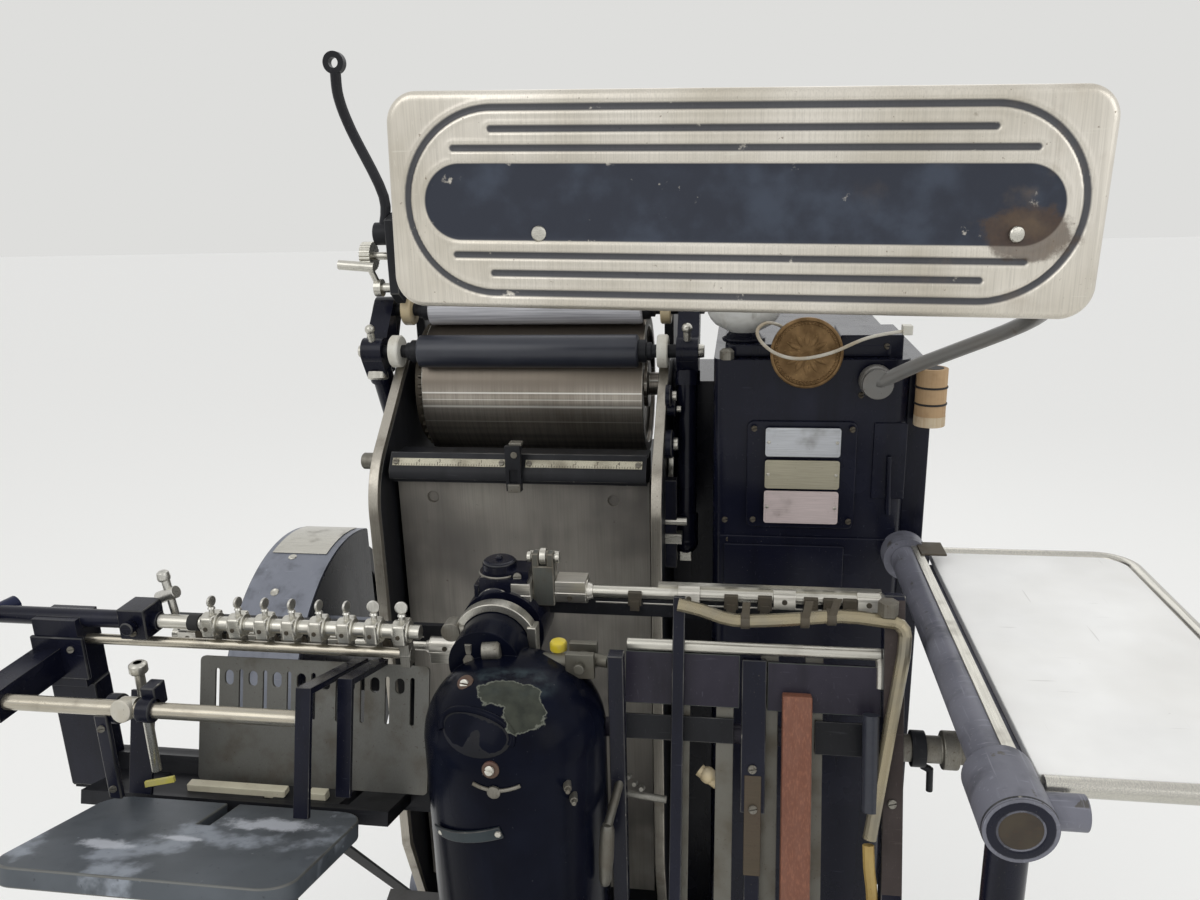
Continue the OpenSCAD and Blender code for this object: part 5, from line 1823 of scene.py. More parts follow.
@dataclass
class DomeHousing:
    """The domed gear housing in front of the bed, with its nose and levers."""

    centre: tuple[float, float] = (62.0, -222.0)
    radius: float = 82.0
    round: float = 60.0
    top: float = 1077.0
    hole: tuple[float, float] = (44.0, 1050.0)
    plugs: tuple[tuple[float, float], ...] = ((60.0, 1028.0), (25.4, 1073.0))
    strip_z: float = 960.0

    def surface_y(self, x: float, z: float) -> float:
        """Y of the dome's front at a place."""
        reach = self.radius
        low = self.top - self.round
        if z > low:
            reach = self.radius - self.round + math.sqrt(max(self.round**2 - (z - low) ** 2, 0.0))
        return self.centre[1] - math.sqrt(max(reach**2 - (x - self.centre[0]) ** 2, 0.0))

    def build(self, shop: Workshop) -> None:
        """Makes the housing, its covers, plugs and levers."""
        finish = DomeFinish(
            "dome_enamel", "cabinet_black", (7, 9, 21), 0.2, coat=0.01, grain=0.03, grain_scale=180.0, specular=0.05,
            layers=(
                Layer(Pattern.CLOUDS, (20, 24, 38), 12.0, 0.42, 0.45, 0.6, 0.3),
                Layer(Pattern.CHIPS, (96, 98, 94), 75.0, 0.04, 0.03, 0.8, 0.5, 0.0, -0.05, seed=11.0),
                Layer(Pattern.SPECKS, (130, 132, 134), 520.0, 0.05, 0.06, 0.5, 0.6, seed=5.0),
                Layer(Pattern.STREAKS, (9, 10, 16), 30.0, 0.3, 0.3, 0.5, 0.3, seed=3.0),
            ),
        )
        shop.recast("gripper_housing", finish, 1.2)
        self.brow(shop, finish)
        self.oil_plugs(shop)
        self.lip(shop)
        self.strip(shop)
        self.levers(shop)
        self.nose(shop)

    def brow(self, shop: Workshop, finish: Finish) -> None:
        """The hand hole with its hood; the hole is a dark patch of painted shade that lies on the dome."""
        hood = Shape()
        path = []
        for k in range(25):
            a = math.radians(196 - 212 * k / 24)
            x, z = self.hole[0] + 33.0 * math.cos(a), self.hole[1] + 15.0 * math.sin(a)
            path.append(Vector((x, self.surface_y(x, z) + 1.0, z)))
        hood.sweep(path, 3.2, 12)
        shop.add("dome_brow", hood, finish, bevel=0.0, angle=60.0)
        # Painted shade: a thin dark patch on the dome stands for the shade inside the recessed hand hole.
        hole = Shape()
        turn = [2 * math.pi * k / 28 for k in range(28)]
        rim = [
            self.surface_point(self.hole[0] + 32.0 * math.cos(a), self.hole[1] + 14.0 * math.sin(a), 0.5)
            for a in turn
        ]
        self.skin(hole, rim, self.surface_point(*self.hole, 1.0))
        pit = replace(FIN.black, name="painted_recess_shade", colour=(7, 8, 12), rough=0.6)
        shop.add("dome_recess", hole, pit, bevel=0.0)

    def oil_plugs(self, shop: Workshop) -> None:
        """Two screw plugs in red rings."""
        front, top = self.plugs
        plugs = Shape()
        plugs.lathe([(7.4, -2.0), (7.4, 1.0), (5.8, 1.8)], self.surface_point(*front, 0.0), (0.0, -1.0, 0.1), 32)
        plugs.lathe([(7.4, -3.0), (7.4, 1.4), (5.6, 2.4)], self.surface_point(*top, 0.0), (-0.2, -0.5, 0.9), 32)
        red = replace(FIN.gear, name="red_ring", colour=(104, 58, 54), metal=0.3)
        shop.add("dome_plugs", plugs, red, bevel=0.4)
        spots = [self.surface_point(*top, 1.6), self.surface_point(*front, 1.4)]
        shop.screws("dome_screws", (4.0, 3.0, 1.1), FIN.steel, (62, 0, -12), spots, 0.3)

    def lip(self, shop: Workshop) -> None:
        """The bright lip below the hole."""
        lip = Shape()
        edge = [
            self.surface_point(44.0 + 40.0 * k / 16, 1009.6 + 4.0 * (2 * k / 16 - 1) ** 2, 0.6) for k in range(17)
        ]
        lip.sweep([Vector(p) for p in edge], 1.7, 10)
        lip.lathe([(5.6, -2.0), (5.6, 2.0), (3.6, 3.4)], self.surface_point(62.0, 1008.0, 0.0), FRONT, 28)
        shop.add("dome_lip", lip, FIN.worn, bevel=0.0, angle=50.0)

    def strip(self, shop: Workshop) -> None:
        """The riveted strip across the dome, and the two small lugs at the right."""
        strip = Shape()
        across = [2.0 + 66.0 * k / 16 for k in range(17)]
        outline = [(x, self.surface_y(x, self.strip_z) - 2.2) for x in across]
        outline += [(x, self.surface_y(x, self.strip_z) + 0.6) for x in reversed(across)]
        strip.prism(outline, (0.0, 0.0, 941.0), (1.0, 0.0, 0.34), BACK, 11.0)
        green = enamelled("strip_paint", "cabinet_black", (40, 50, 54), 0.4, 0.4, 0.3)
        shop.add("dome_strip", strip, green, bevel=0.8, edge=FIN.edge)
        rivet = Shape().lathe([(3.0, 0.0), (2.6, 1.2), (1.4, 1.8)], ORIGIN, UP, 16)
        ends = [(x, self.surface_y(x, self.strip_z) - 2.0, 946.6 + 0.34 * x) for x in (6.5, 63.5)]
        shop.copy("strip_rivets", Rule.SPOTS, rivet, FIN.steel, turn=(90, 0, 0), spots=ends, bevel=0.0)
        lugs = Shape()
        for x, z in ((118.0, 1003.0), (122.0, 989.0)):
            y = self.surface_y(x, z)
            lugs.rod((x, y + 4.0, z), (x + 3.0, y - 6.0, z), 4.0, 3.2, 20)
            lugs.rod((x + 3.0, y - 5.0, z), (x + 3.6, y - 10.0, z), 2.4, 2.0, 16)
        shop.add("dome_lugs", lugs, FIN.worn, bevel=0.5)

    def surface_point(self, x: float, z: float, out: float) -> Point:
        """A point of the dome's front, at a distance before it."""
        return (x, self.surface_y(x, z) - out, z)

    def skin(self, shape: Shape, rim: list[Point], middle: Point) -> None:
        """A thin closed patch that follows the dome, with a rim and a middle."""
        front = [shape.bm.verts.new(p) for p in rim]
        back = [shape.bm.verts.new((p[0], p[1] + 3.0, p[2])) for p in rim]
        near = shape.bm.verts.new(middle)
        far = shape.bm.verts.new((middle[0], middle[1] + 3.0, middle[2]))
        for k in range(len(rim)):
            j = (k + 1) % len(rim)
            shape.bm.faces.new((front[k], front[j], near))
            shape.bm.faces.new((back[j], back[k], far))
            shape.bm.faces.new((front[k], back[k], back[j], front[j]))
        bmesh.ops.recalc_face_normals(shape.bm, faces=shape.bm.faces)

    def nose(self, shop: Workshop) -> None:
        """The steel ring round the nose, and the cam lever and filler at its foot."""
        ring = Shape()
        outline = arc(42.0, range(20, 175, 7)) + arc(34.2, range(174, 19, -7))
        ring.prism([(-a, b) for a, b in outline], (30.0, -148.0, 1066.0), LEFT, UP, -14.0)
        ring.box((62.0, -164.0, 1052.0), (71.0, -148.0, 1086.0))
        bmesh.ops.recalc_face_normals(ring.bm, faces=ring.bm.faces)
        shop.add("nose_ring", ring, FIN.steel_y, bevel=1.0)
        parts = Shape()
        parts.rod((-14.0, -160.0, 1078.0), (2.0, -160.0, 1080.0), 6.0)
        parts.rod((-12.0, -167.0, 1079.0), (-12.0, -150.0, 1079.0), 9.5)
        parts.lathe([(9.0, 0.0), (9.0, 4.0), (5.4, 9.0), (5.4, 20.0)], (16.0, -196.0, 1068.0), (0.0, -0.15, 1.0), 6)
        parts.lathe([(10.0, 0.0), (10.0, 15.0), (8.0, 17.0)], (30.0, -200.0, 1080.0), (1.0, 0.0, 0.1), 28)
        shop.add("nose_fittings", parts, FIN.worn, bevel=0.8)

    def levers(self, shop: Workshop) -> None:
        """The grey clevis, the yellow oiler and the polished handle at the right."""
        clevis = Shape()
        clevis.rod((84.0, -190.0, 1066.0), (112.0, -200.0, 1072.0), 9.0, 8.0)
        clevis.box((108.0, -214.0, 1064.0), (134.0, -207.0, 1088.0))
        clevis.box((108.0, -193.0, 1064.0), (134.0, -186.0, 1088.0))
        clevis.rod((121.0, -220.0, 1076.0), (121.0, -182.0, 1076.0), 5.0)
        clevis.rod((122.0, -200.0, 1078.0), (146.0, -206.0, 1078.0), 5.6)
        shop.add("clevis", clevis, replace(FIN.zinc, name="dirty_zinc", colour=(118, 116, 106)), bevel=1.0)
        oiler = Shape().lathe([(6.5, 0.0), (6.5, 9.0), (4.0, 10.0)], (97.0, -186.0, 1068.0), UP, 28)
        shop.add("oiler_neck", oiler, ENAMEL, bevel=0.4)
        yellow = replace(CREAM, name="yellow_cap", colour=(212, 190, 34))
        cap = Shape().lathe(
            [(7.4, 0.0), (8.0, 1.0), (8.0, 7.0), (6.8, 9.0), (3.0, 9.8)], (97.0, -186.0, 1077.0), UP, 28
        )
        shop.add("oiler_cap", cap, yellow, bevel=0.4)
        handle = Shape()
        handle.lathe(
            [(4.6, 0.0), (6.4, 6.0), (6.8, 34.0), (5.4, 58.0), (4.2, 63.0), (2.0, 65.0)],
            (149.0, -258.0, 948.0),
            (-0.06, 0.0, -1.0),
            32,
        )
        handle.rod((149.0, -258.0, 946.0), (156.0, -216.0, 966.0), 4.0)
        shop.add(
            "brake_handle",
            handle,
            replace(FIN.worn, name="handle_steel", colour=(132, 132, 126), rough=0.3),
            bevel=0.5,
        )


@dataclass
class Cabinet:
    """The gear cabinet with its door, bare labels, oil cup, badge and cable."""

    front: float = 60.0
    top: float = 1300.0
    door_face: float = 51.9
    badge_centre: Point = (328.0, 56.0, 1308.0)

    def build(self, shop: Workshop) -> None:
        """Makes the cabinet's pieces."""
        shop.recast("gear_cabinet", FIN.black, 2.2)
        shop.recast("cabinet_door", FIN.black, 1.6)
        shop.recast("cabinet_cap", FIN.black, 2.0)
        shop.recast("cabinet_side_panel", FIN.black, 2.0)
        self.labels(shop)
        self.oil_cup(shop)
        self.badge(shop)
        self.cable(shop)
        self.screws(shop)
        self.boxes(shop)
        self.card_tube(shop)

    def labels(self, shop: Workshop) -> None:
        """Three bare plates with rims and rivets, on the door."""
        plates = (
            ((287.0, 1194.8), (367.0, 1227.2), (214, 217, 222), 0.3),
            ((287.0, 1158.0), (367.0, 1190.6), (190, 184, 162), 0.36),
            ((286.6, 1117.6), (367.0, 1155.2), (212, 197, 195), 0.55),
        )
        for k, (low, high, colour, rough) in enumerate(plates):
            finish = replace(
                bright(f"label_plate_{k}", "nickel_sheet", colour, rough, Axis.X, 0.2), metal=(0.75, 0.5, 0.1)[k]
            )
            size = (high[0] - low[0], high[1] - low[1])
            plate = Shape()
            outline = []
            for cx, cz, first in (
                (3, 3, 180), (size[0] - 3, 3, 270), (size[0] - 3, size[1] - 3, 0), (3, size[1] - 3, 90)
            ):
                outline += [(cx + a, cz + b) for a, b in arc(3, range(first, first + 91, 18))]
            plate.prism(outline, (low[0], self.door_face + 0.2, low[1]), RIGHT, UP, 1.4)
            inset, wide = 2.6, 0.7
            a, b = (low[0] + inset, low[1] + inset), (high[0] - inset, high[1] - inset)
            y0, y1 = self.door_face - 1.5, self.door_face - 1.1
            plate.box((a[0], y0, a[1]), (b[0], y1, a[1] + wide)).box((a[0], y0, b[1] - wide), (b[0], y1, b[1]))
            plate.box((a[0], y0, a[1]), (a[0] + wide, y1, b[1])).box((b[0] - wide, y0, a[1]), (b[0], y1, b[1]))
            shop.add(f"label_{k}", plate, finish, bevel=0.15)
        middles = [
            (x, self.door_face - 1.0, (low[1] + high[1]) / 2)
            for low, high, _, _ in plates
            for x in (low[0] + 3.6, high[0] - 3.6)
        ]
        shop.copy(
            "label_rivets",
            Rule.SPOTS,
            Shape().lathe([(2.1, 0.0), (1.9, 0.8), (1.2, 1.4)], ORIGIN, UP, 14),
            FIN.steel,
            turn=(90, 0, 0),
            spots=middles,
            bevel=0.0,
        )

    def screws(self, shop: Workshop) -> None:
        """The door's four screws and four more about it."""
        places = [
            (274.0, self.door_face + 0.4, 1226.0), (274.0, self.door_face + 0.4, 1121.0),
            (378.0, self.door_face + 0.4, 1121.0), (378.0, self.door_face + 0.4, 1226.0),
        ]
        places += [
            (243.0, self.front + 0.2, 1117.0), (247.0, self.front + 0.2, 1094.0), (386.0, self.front + 0.2, 1262.0),
            (412.0, 75.2, 1312.0),
        ]
        shop.screws("cabinet_screws", (3.3, 2.4, 1.0), FIN.gear, (90, 0, 35), places, 0.3)

    def boxes(self, shop: Workshop) -> None:
        """The box on the cap, the rod and strip beside the door, and the plates at the plinth."""
        box = Shape().box((364.5, 75.0, 1299.0), (430.0, 150.0, 1324.0))
        box.rod((419.0, 55.0, 1196.0), (421.0, 55.0, 1128.0), 2.6)
        box.box((402.0, 57.6, 1146.0), (437.0, 60.4, 1232.0))
        shop.add("cabinet_boxes", box, FIN.black, bevel=1.6)
        foot = Shape().box((243.0, 60.3, 1040.0), (376.0, 54.0, 1090.0))
        foot.box((238.0, 57.5, 1008.0), (431.0, 60.4, 1099.0))
        shop.add("cabinet_plinth_plate", foot, FIN.black, bevel=1.4)

    def card_tube(self, shop: Workshop) -> None:
        """The tan card tube with its two ties, dark mouth and pale foot."""
        x, y = 459.0, 63.8
        ties = Shape()
        for z in (1252.0, 1270.0):
            ties.lathe([(15.6, 0.0), (16.9, 0.4), (16.9, 2.2), (15.6, 2.6)], (x, y, z), UP, 36)
        shop.add("tube_ties", ties, BELT, bevel=0.2)
        shop.recast("cord_tube", KRAFT, 0.5)
        mouth = Shape().lathe([(11.5, 0.0), (11.5, 0.6)], (x, y, 1290.8), UP, 24)
        shop.add("tube_mouth", mouth, BELT, bevel=0.1)
        foot = Shape().lathe([(16.3, 0.0), (16.3, 11.0)], (x, y, 1229.2), UP, 36)
        shop.add("tube_foot", foot, replace(KRAFT, name="pale_card", colour=(206, 190, 162)), bevel=0.2)

    def oil_cup(self, shop: Workshop) -> None:
        """A white cup on a black neck."""
        x, y, z = 262.0, 108.0, self.top + 14.0
        profile = [
            (14.2, 7.0), (14.2, 8.5), (32.0, 18.2), (37.0, 24.0), (40.0, 30.0), (41.0, 36.0), (41.0, 40.0),
            (38.0, 43.8), (34.0, 44.0), (32.0, 40.0),
        ]
        cup = Shape().lathe(profile, (x, y, z), UP, 64)
        shop.add("cup_bowl", cup, ENAMEL, ("oil_cup",), bevel=0.5, angle=25.0)
        neck = Shape().lathe(
            [(23.0, -1.0), (24.0, 1.0), (24.0, 3.0), (20.0, 5.0), (17.0, 8.5), (16.0, 12.0)], (x, y, z), UP, 48
        )
        neck.lathe(
            [(31.5, 39.5), (32.0, 41.0), (8.0, 44.5), (5.0, 46.0), (5.0, 52.0), (3.0, 53.0)], (x, y, z), UP, 40
        )
        shop.add("cup_neck", neck, FIN.black, bevel=0.6)

    def badge(self, shop: Workshop) -> None:
        """A round bronze badge with a rope rim and a rosette, and no words."""
        x, y, z = self.badge_centre
        disc = Shape().lathe(
            [(38.0, -4.0), (38.0, 0.6), (36.6, 1.6), (35.0, 1.6), (34.0, 0.2), (12.0, 0.4), (8.0, 1.0)],
            self.badge_centre,
            FRONT,
            72,
        )
        shop.add("badge", disc, BRONZE, ("medallion",), bevel=0.0, angle=35.0)
        bead = Shape().ball(ORIGIN, 1.5, 10)
        for name, part, count, out, radius in (
            ("badge_beads", bead, 54, 0.6, 32.0),
            ("badge_rosette", self.petal(), 12, 0.5, 6.0),
        ):
            ring = {"count": count, "start": (x, y - out, z), "turn": (90, 0, 0), "radius": radius}
            shop.copy(name, Rule.RING, part, BRONZE, bevel=0.0, angle=60.0, **ring)

    def petal(self) -> Shape:
        """One flat petal that points along X."""
        petal = Shape().lathe([(0.6, 0.0), (2.4, 5.0), (3.0, 10.0), (1.6, 15.0), (0.3, 18.0)], ORIGIN, RIGHT, 12)
        bmesh.ops.scale(petal.bm, vec=(1.0, 1.0, 0.4), verts=petal.bm.verts)
        return petal

    def cable(self, shop: Workshop) -> None:
        """The pale cable that loops over the cap in front of the badge."""
        points = [
            (430.0, 66.0, 1330.0), (389.0, 46.0, 1326.0), (352.0, 42.0, 1311.0), (320.0, 41.0, 1305.0),
            (296.0, 42.0, 1310.0), (280.0, 46.0, 1322.0), (276.0, 56.0, 1333.0), (286.0, 66.0, 1339.0),
            (300.0, 72.0, 1335.0), (308.0, 80.0, 1326.0), (312.0, 88.0, 1312.0),
        ]
        loop = Shape().sweep(smooth_path(points, 6), 1.8, 12)
        pale = replace(HOSE, name="pale_cable", slot="white_nylon", colour=(206, 202, 190))
        shop.add("cap_cable", loop, pale, bevel=0.0, angle=60.0)
        clip = Shape().box((426.0, 60.0, 1326.0), (436.0, 74.0, 1336.0))
        clip.box((307.0, 84.0, 1312.6), (317.0, 93.0, 1319.0))
        shop.add("cable_clips", clip, NYLON, bevel=0.8)
        glands = Shape().lathe([(8.0, 0.0), (8.0, 9.0), (5.0, 12.0)], (244.0, 66.0, self.top - 0.5), UP, 6)
        shop.add("cap_gland", glands, FIN.worn, bevel=0.5)


@dataclass
class Delivery:
    """Slats, plates, posts, rods and air line of the delivery, with the lay table at its right."""

    slat_y: float = 120.0
    slat_top: float = 168.0
    slat_x: float = 209.0
    slat_step: float = 40.0
    hose_radius: float = 5.0
    hose_steps: int = 4

    def build(self, shop: Workshop) -> None:
        """Makes the delivery's pieces."""
        zinc = replace(FIN.zinc, name="slat_zinc", colour=(116, 114, 106))
        shop.recast("delivery_slats", zinc, 0.5)
        plum = enamelled("plum_enamel", "cabinet_black", (42, 39, 50), 0.3, 0.5, 0.4)
        # The plates' pale green edges are worn metal and painted highlight together.
        shop.recast("delivery_plates", plum, 1.2, replace(FIN.edge, name="green_edge_wear_and_highlight", colour=(74, 82, 76)))
        shop.recast("delivery_posts", FIN.black, 0.9, FIN.edge)
        shop.recast("wood_batten", WOOD, 1.6)
        brown = Shape().prism(oblong(15.2, 11.2), feed(267.4, 107.4, -36.0), RIGHT, feed_way(1.0, 0.0), 90.0)
        shop.add("post_foot", brown, replace(FIN.gear, name="brown_steel", colour=(98, 86, 74)), bevel=0.6)
        shop.recast("delivery_rod", FIN.steel, 0.9)
        shop.recast("delivery_table", GREY_IRON, 1.5)
        shop.dress("air_tube", AIR)
        self.slats(shop)
        self.air_line(shop)
        self.rear(shop)
        self.bend(shop)
        self.hose(shop)
        self.lay(shop)
        self.bar_end(shop)
        self.leg(shop)

    def slats(self, shop: Workshop) -> None:
        """The slats' holes as dark discs of painted shade, the worn plates behind them and the posts' screws."""
        centres = [self.slat_x + i * self.slat_step for i in range(4)]
        holes = [feed(x, self.slat_y - 0.1, self.slat_top - 20.0) for x in centres]
        # Painted shade: thin dark discs stand for the shade inside the slats' holes.
        dark = replace(RUBBER, name="painted_hole_shade", colour=(12, 12, 13))
        dot = Shape().lathe([(3.4, 0.0), (3.4, 0.3), (2.6, 0.5)], ORIGIN, UP, 18)
        shop.copy(
            "slat_holes", Rule.SPOTS, dot, dark, turn=(90 + math.degrees(-FEED_TILT), 0, 0), spots=holes, bevel=0.0
        )
        worn_plate = Shape()
        for low, high in (
            ((154.0, 111.4, 79.0), (257.0, 114.0, 102.0)), ((330.0, 111.4, 74.0), (385.0, 114.0, 104.0))
        ):
            worn_plate.prism(
                [(low[0], low[2]), (high[0], low[2]), (high[0], high[2]), (low[0], high[2])],
                feed(0.0, high[1] + 5.0, 0.0),
                RIGHT,
                feed_way(0.0, 1.0),
                3.0,
            )
        shop.add("rear_plates", worn_plate, FIN.iron, bevel=0.6, edge=FIN.edge)
        dots = [feed(274.0, 107.6, 60.0), feed(275.0, 107.6, 24.0), feed(395.0, 99.6, 40.0)]
        shop.screws("post_screws", (4.0, 2.4, 1.1), FIN.worn, (73, 0, 20), dots, 0.25)

    def air_line(self, shop: Workshop) -> None:
        """The air tube's clips, sleeve and union, and the face of the post beside it."""
        clips = Shape()
        for x, z, lean in ((262.0, 195.8, 0.1), (314.0, 198.6, 0.35), (337.0, 201.8, 0.5)):
            way = (1.0, 0.0, 0.02)
            clips.lathe([(6.4, 0.0), (7.2, 0.4), (7.2, 7.6), (6.4, 8.0)], feed(x, 94.0, z), way, 28)
            clips.prism(
                [(0, 0), (7, 0), (7 + 9 * lean, 17), (9 * lean, 17)], feed(x + 0.5, 89.0, z + 2.0), RIGHT, UP, 1.6
            )
        shop.add("air_clips", clips, FIN.gear, bevel=0.3)
        sleeve = Shape().sweep([Vector(feed(376.0, 94.0, z)) for z in (118.0, 90.0, 60.0, 34.0)], 7.4, 20)
        shop.add("air_sleeve", sleeve, RUBBER, bevel=0.0, angle=60.0)
        rust = enamelled("brown_post", "black_iron", (58, 50, 48), 0.5, 0.6, 0.4)
        face = Shape().prism(oblong(17.2, 0.9), feed(387.4, 99.3, -40.0), RIGHT, feed_way(1.0, 0.0), 258.0)
        shop.add("post_face", face, rust, bevel=0.3)
        nipple = Shape()
        start = Vector(feed(389.0, 94.0, 206.0))
        nipple.rod(tuple(start), tuple(start + Vector((0.0, 0.0, 13.0))), 9.0, steps=6)
        shop.add("air_union", nipple, FIN.worn, bevel=0.5)

    def rear(self, shop: Workshop) -> None:
        """Springs and a pale plug behind the slats."""
        pegs = Shape()
        for x, z in ((160.0, 40.0), (166.0, 34.0), (173.0, 30.0)):
            pegs.rod(feed(x, 128.0, z), feed(x, 116.0, z + 2.0), 3.0, 2.2, 14)
        pegs.rod(feed(154.0, 128.0, 24.0), feed(196.0, 128.0, 20.0), 3.4)
        shop.add("rear_springs", pegs, FIN.zinc, bevel=0.4)
        rag = Shape().ball(feed(234.0, 132.0, 44.0), 8.0, 14)
        rag.rod(feed(226.0, 134.0, 48.0), feed(243.0, 130.0, 36.0), 6.0, 4.4, 14)
        shop.add("rear_plug", rag, CREAM, bevel=0.0, angle=60.0)

    def bend(self, shop: Workshop) -> None:
        """The rod's bent end."""
        rod = Shape()
        y, z = self.slat_y - 5.5, self.slat_top - 1.0
        path = [(372.0, y, z), (381.0, y, z), (385.5, y, z - 3.0), (386.6, y, z - 9.0), (386.6, y, z - 30.0)]
        rod.sweep(smooth_path([feed(*p) for p in path], 4), 4.6, 14)
        shop.add("rod_bend", rod, FIN.steel, bevel=0.0, angle=60.0)

    def hose(self, shop: Workshop) -> None:
        """The yellowed air hose from the air tube's lower end down to the plinth."""
        shop.dress("air_hose", HOSE)
        top = Vector(feed(376.0, 94.0, 10.0))
        low = Vector((330.0, -150.0, 110.3))
        route = [
            top + Vector((-1.0, -1.5, -5.0)), top + Vector((0.0, -6.0, -24.0)), Vector((381.0, -236.0, 850.0)),
            Vector((374.0, -216.0, 700.0)), Vector((350.0, -180.0, 400.0)), low + Vector((0.0, 0.0, 60.0)),
            low + Vector((0.0, 0.0, 20.0)), low,
        ]
        path = [p * MM for p in smooth_path(route, self.hose_steps)]
        length = sum((b - a).length for a, b in zip(path, path[1:]))
        LOG.info("air_hose is %.3f m long", length)

    def lay(self, shop: Workshop) -> None:
        """The finishes of the lay table, its bar, rail, leg and shaft."""
        shop.recast("table_bar", self.sleeve_paint(), 1.2, FIN.edge)
        shop.recast("lay_table", BOARD, 1.2)
        shop.recast("table_rail", replace(FIN.chrome, name="rail_tube", colour=(216, 213, 202), rough=0.26), 0.6)
        shop.recast("table_leg", FIN.black, 1.2, FIN.edge)
        shop.recast("cross_shaft", FIN.worn, 1.4)

    def sleeve_paint(self) -> Finish:
        """The grey paint of the table bar and its end."""
        return enamelled("grey_sleeve", "black_iron", (106, 107, 117), 0.34, 0.8, 0.4)

    def bar_end(self, shop: Workshop) -> None:
        """The bar's sleeve, end face and disc, with the strip and tab on top of it."""
        sleeve = Shape().lathe([(24.4, 0.0), (24.4, 58.0), (22.6, 60.0)], (440.0, -350.0, 1085.0), FRONT, 48)
        shop.add("bar_sleeve_end", sleeve, self.sleeve_paint(), bevel=1.0, edge=FIN.edge)
        face = Shape().lathe(
            [(23.0, -1.0), (23.4, 2.0), (21.0, 5.0), (16.0, 5.4), (14.6, 3.6)], (440.0, -405.4, 1085.0), FRONT, 48
        )
        shop.add("bar_end", face, FIN.black, bevel=0.7)
        disc = Shape().lathe([(14.4, 0.0), (14.4, 4.4), (12.8, 5.2)], (440.0, -405.4, 1085.0), FRONT, 40)
        shop.add("bar_end_disc", disc, replace(FIN.gear, name="end_disc_steel", colour=(70, 63, 60)), bevel=0.3)
        strip = Shape().box((444.0, -352.0, 1099.0), (453.4, 52.0, 1101.6))
        shop.add("bar_strip", strip, FIN.steel_y, bevel=0.5)
        tab = Shape().box((450.0, 8.0, 1101.0), (476.0, 42.0, 1103.4))
        shop.add("bar_tab", tab, FIN.gear, bevel=0.6)

    def leg(self, shop: Workshop) -> None:
        """The shaft's collar with its pin, the leg's knob and its foot."""
        spot = feed(413.0, 119.0, 84.0)
        pin = Shape().lathe([(12.0, 0.0), (16.0, 0.4), (16.0, 12.6), (12.0, 13.0)], spot, RIGHT, 40)
        pin.rod((424.0, spot[1] - 3.0, spot[2] - 15.0), (431.0, spot[1] - 4.0, spot[2] - 18.0), 3.2)
        pin.rod((431.0, spot[1] - 4.0, spot[2] - 16.6), (432.0, spot[1] - 4.0, spot[2] - 40.0), 3.0)
        shop.add("collar_pin", pin, FIN.iron, bevel=0.5)
        knob = Shape().lathe(
            [(6.0, 0.0), (9.5, 2.0), (11.0, 8.0), (10.0, 14.0), (6.0, 17.0), (2.0, 18.0)],
            (440.0, -402.0, 857.0),
            RIGHT,
            32,
        )
        shop.add("leg_knob", knob, replace(WOOD, name="orange_knob", colour=(176, 96, 40), rough=0.4), bevel=0.4)
        feet = Shape().lathe(
            [(34.4, 0.0), (34.4, 9.0), (30.0, 12.4), (17.0, 13.6), (15.0, 22.0)], (440.0, -387.0, 0.2), UP, 48
        )
        shop.add("leg_foot", feet, FIN.iron, bevel=0.6)


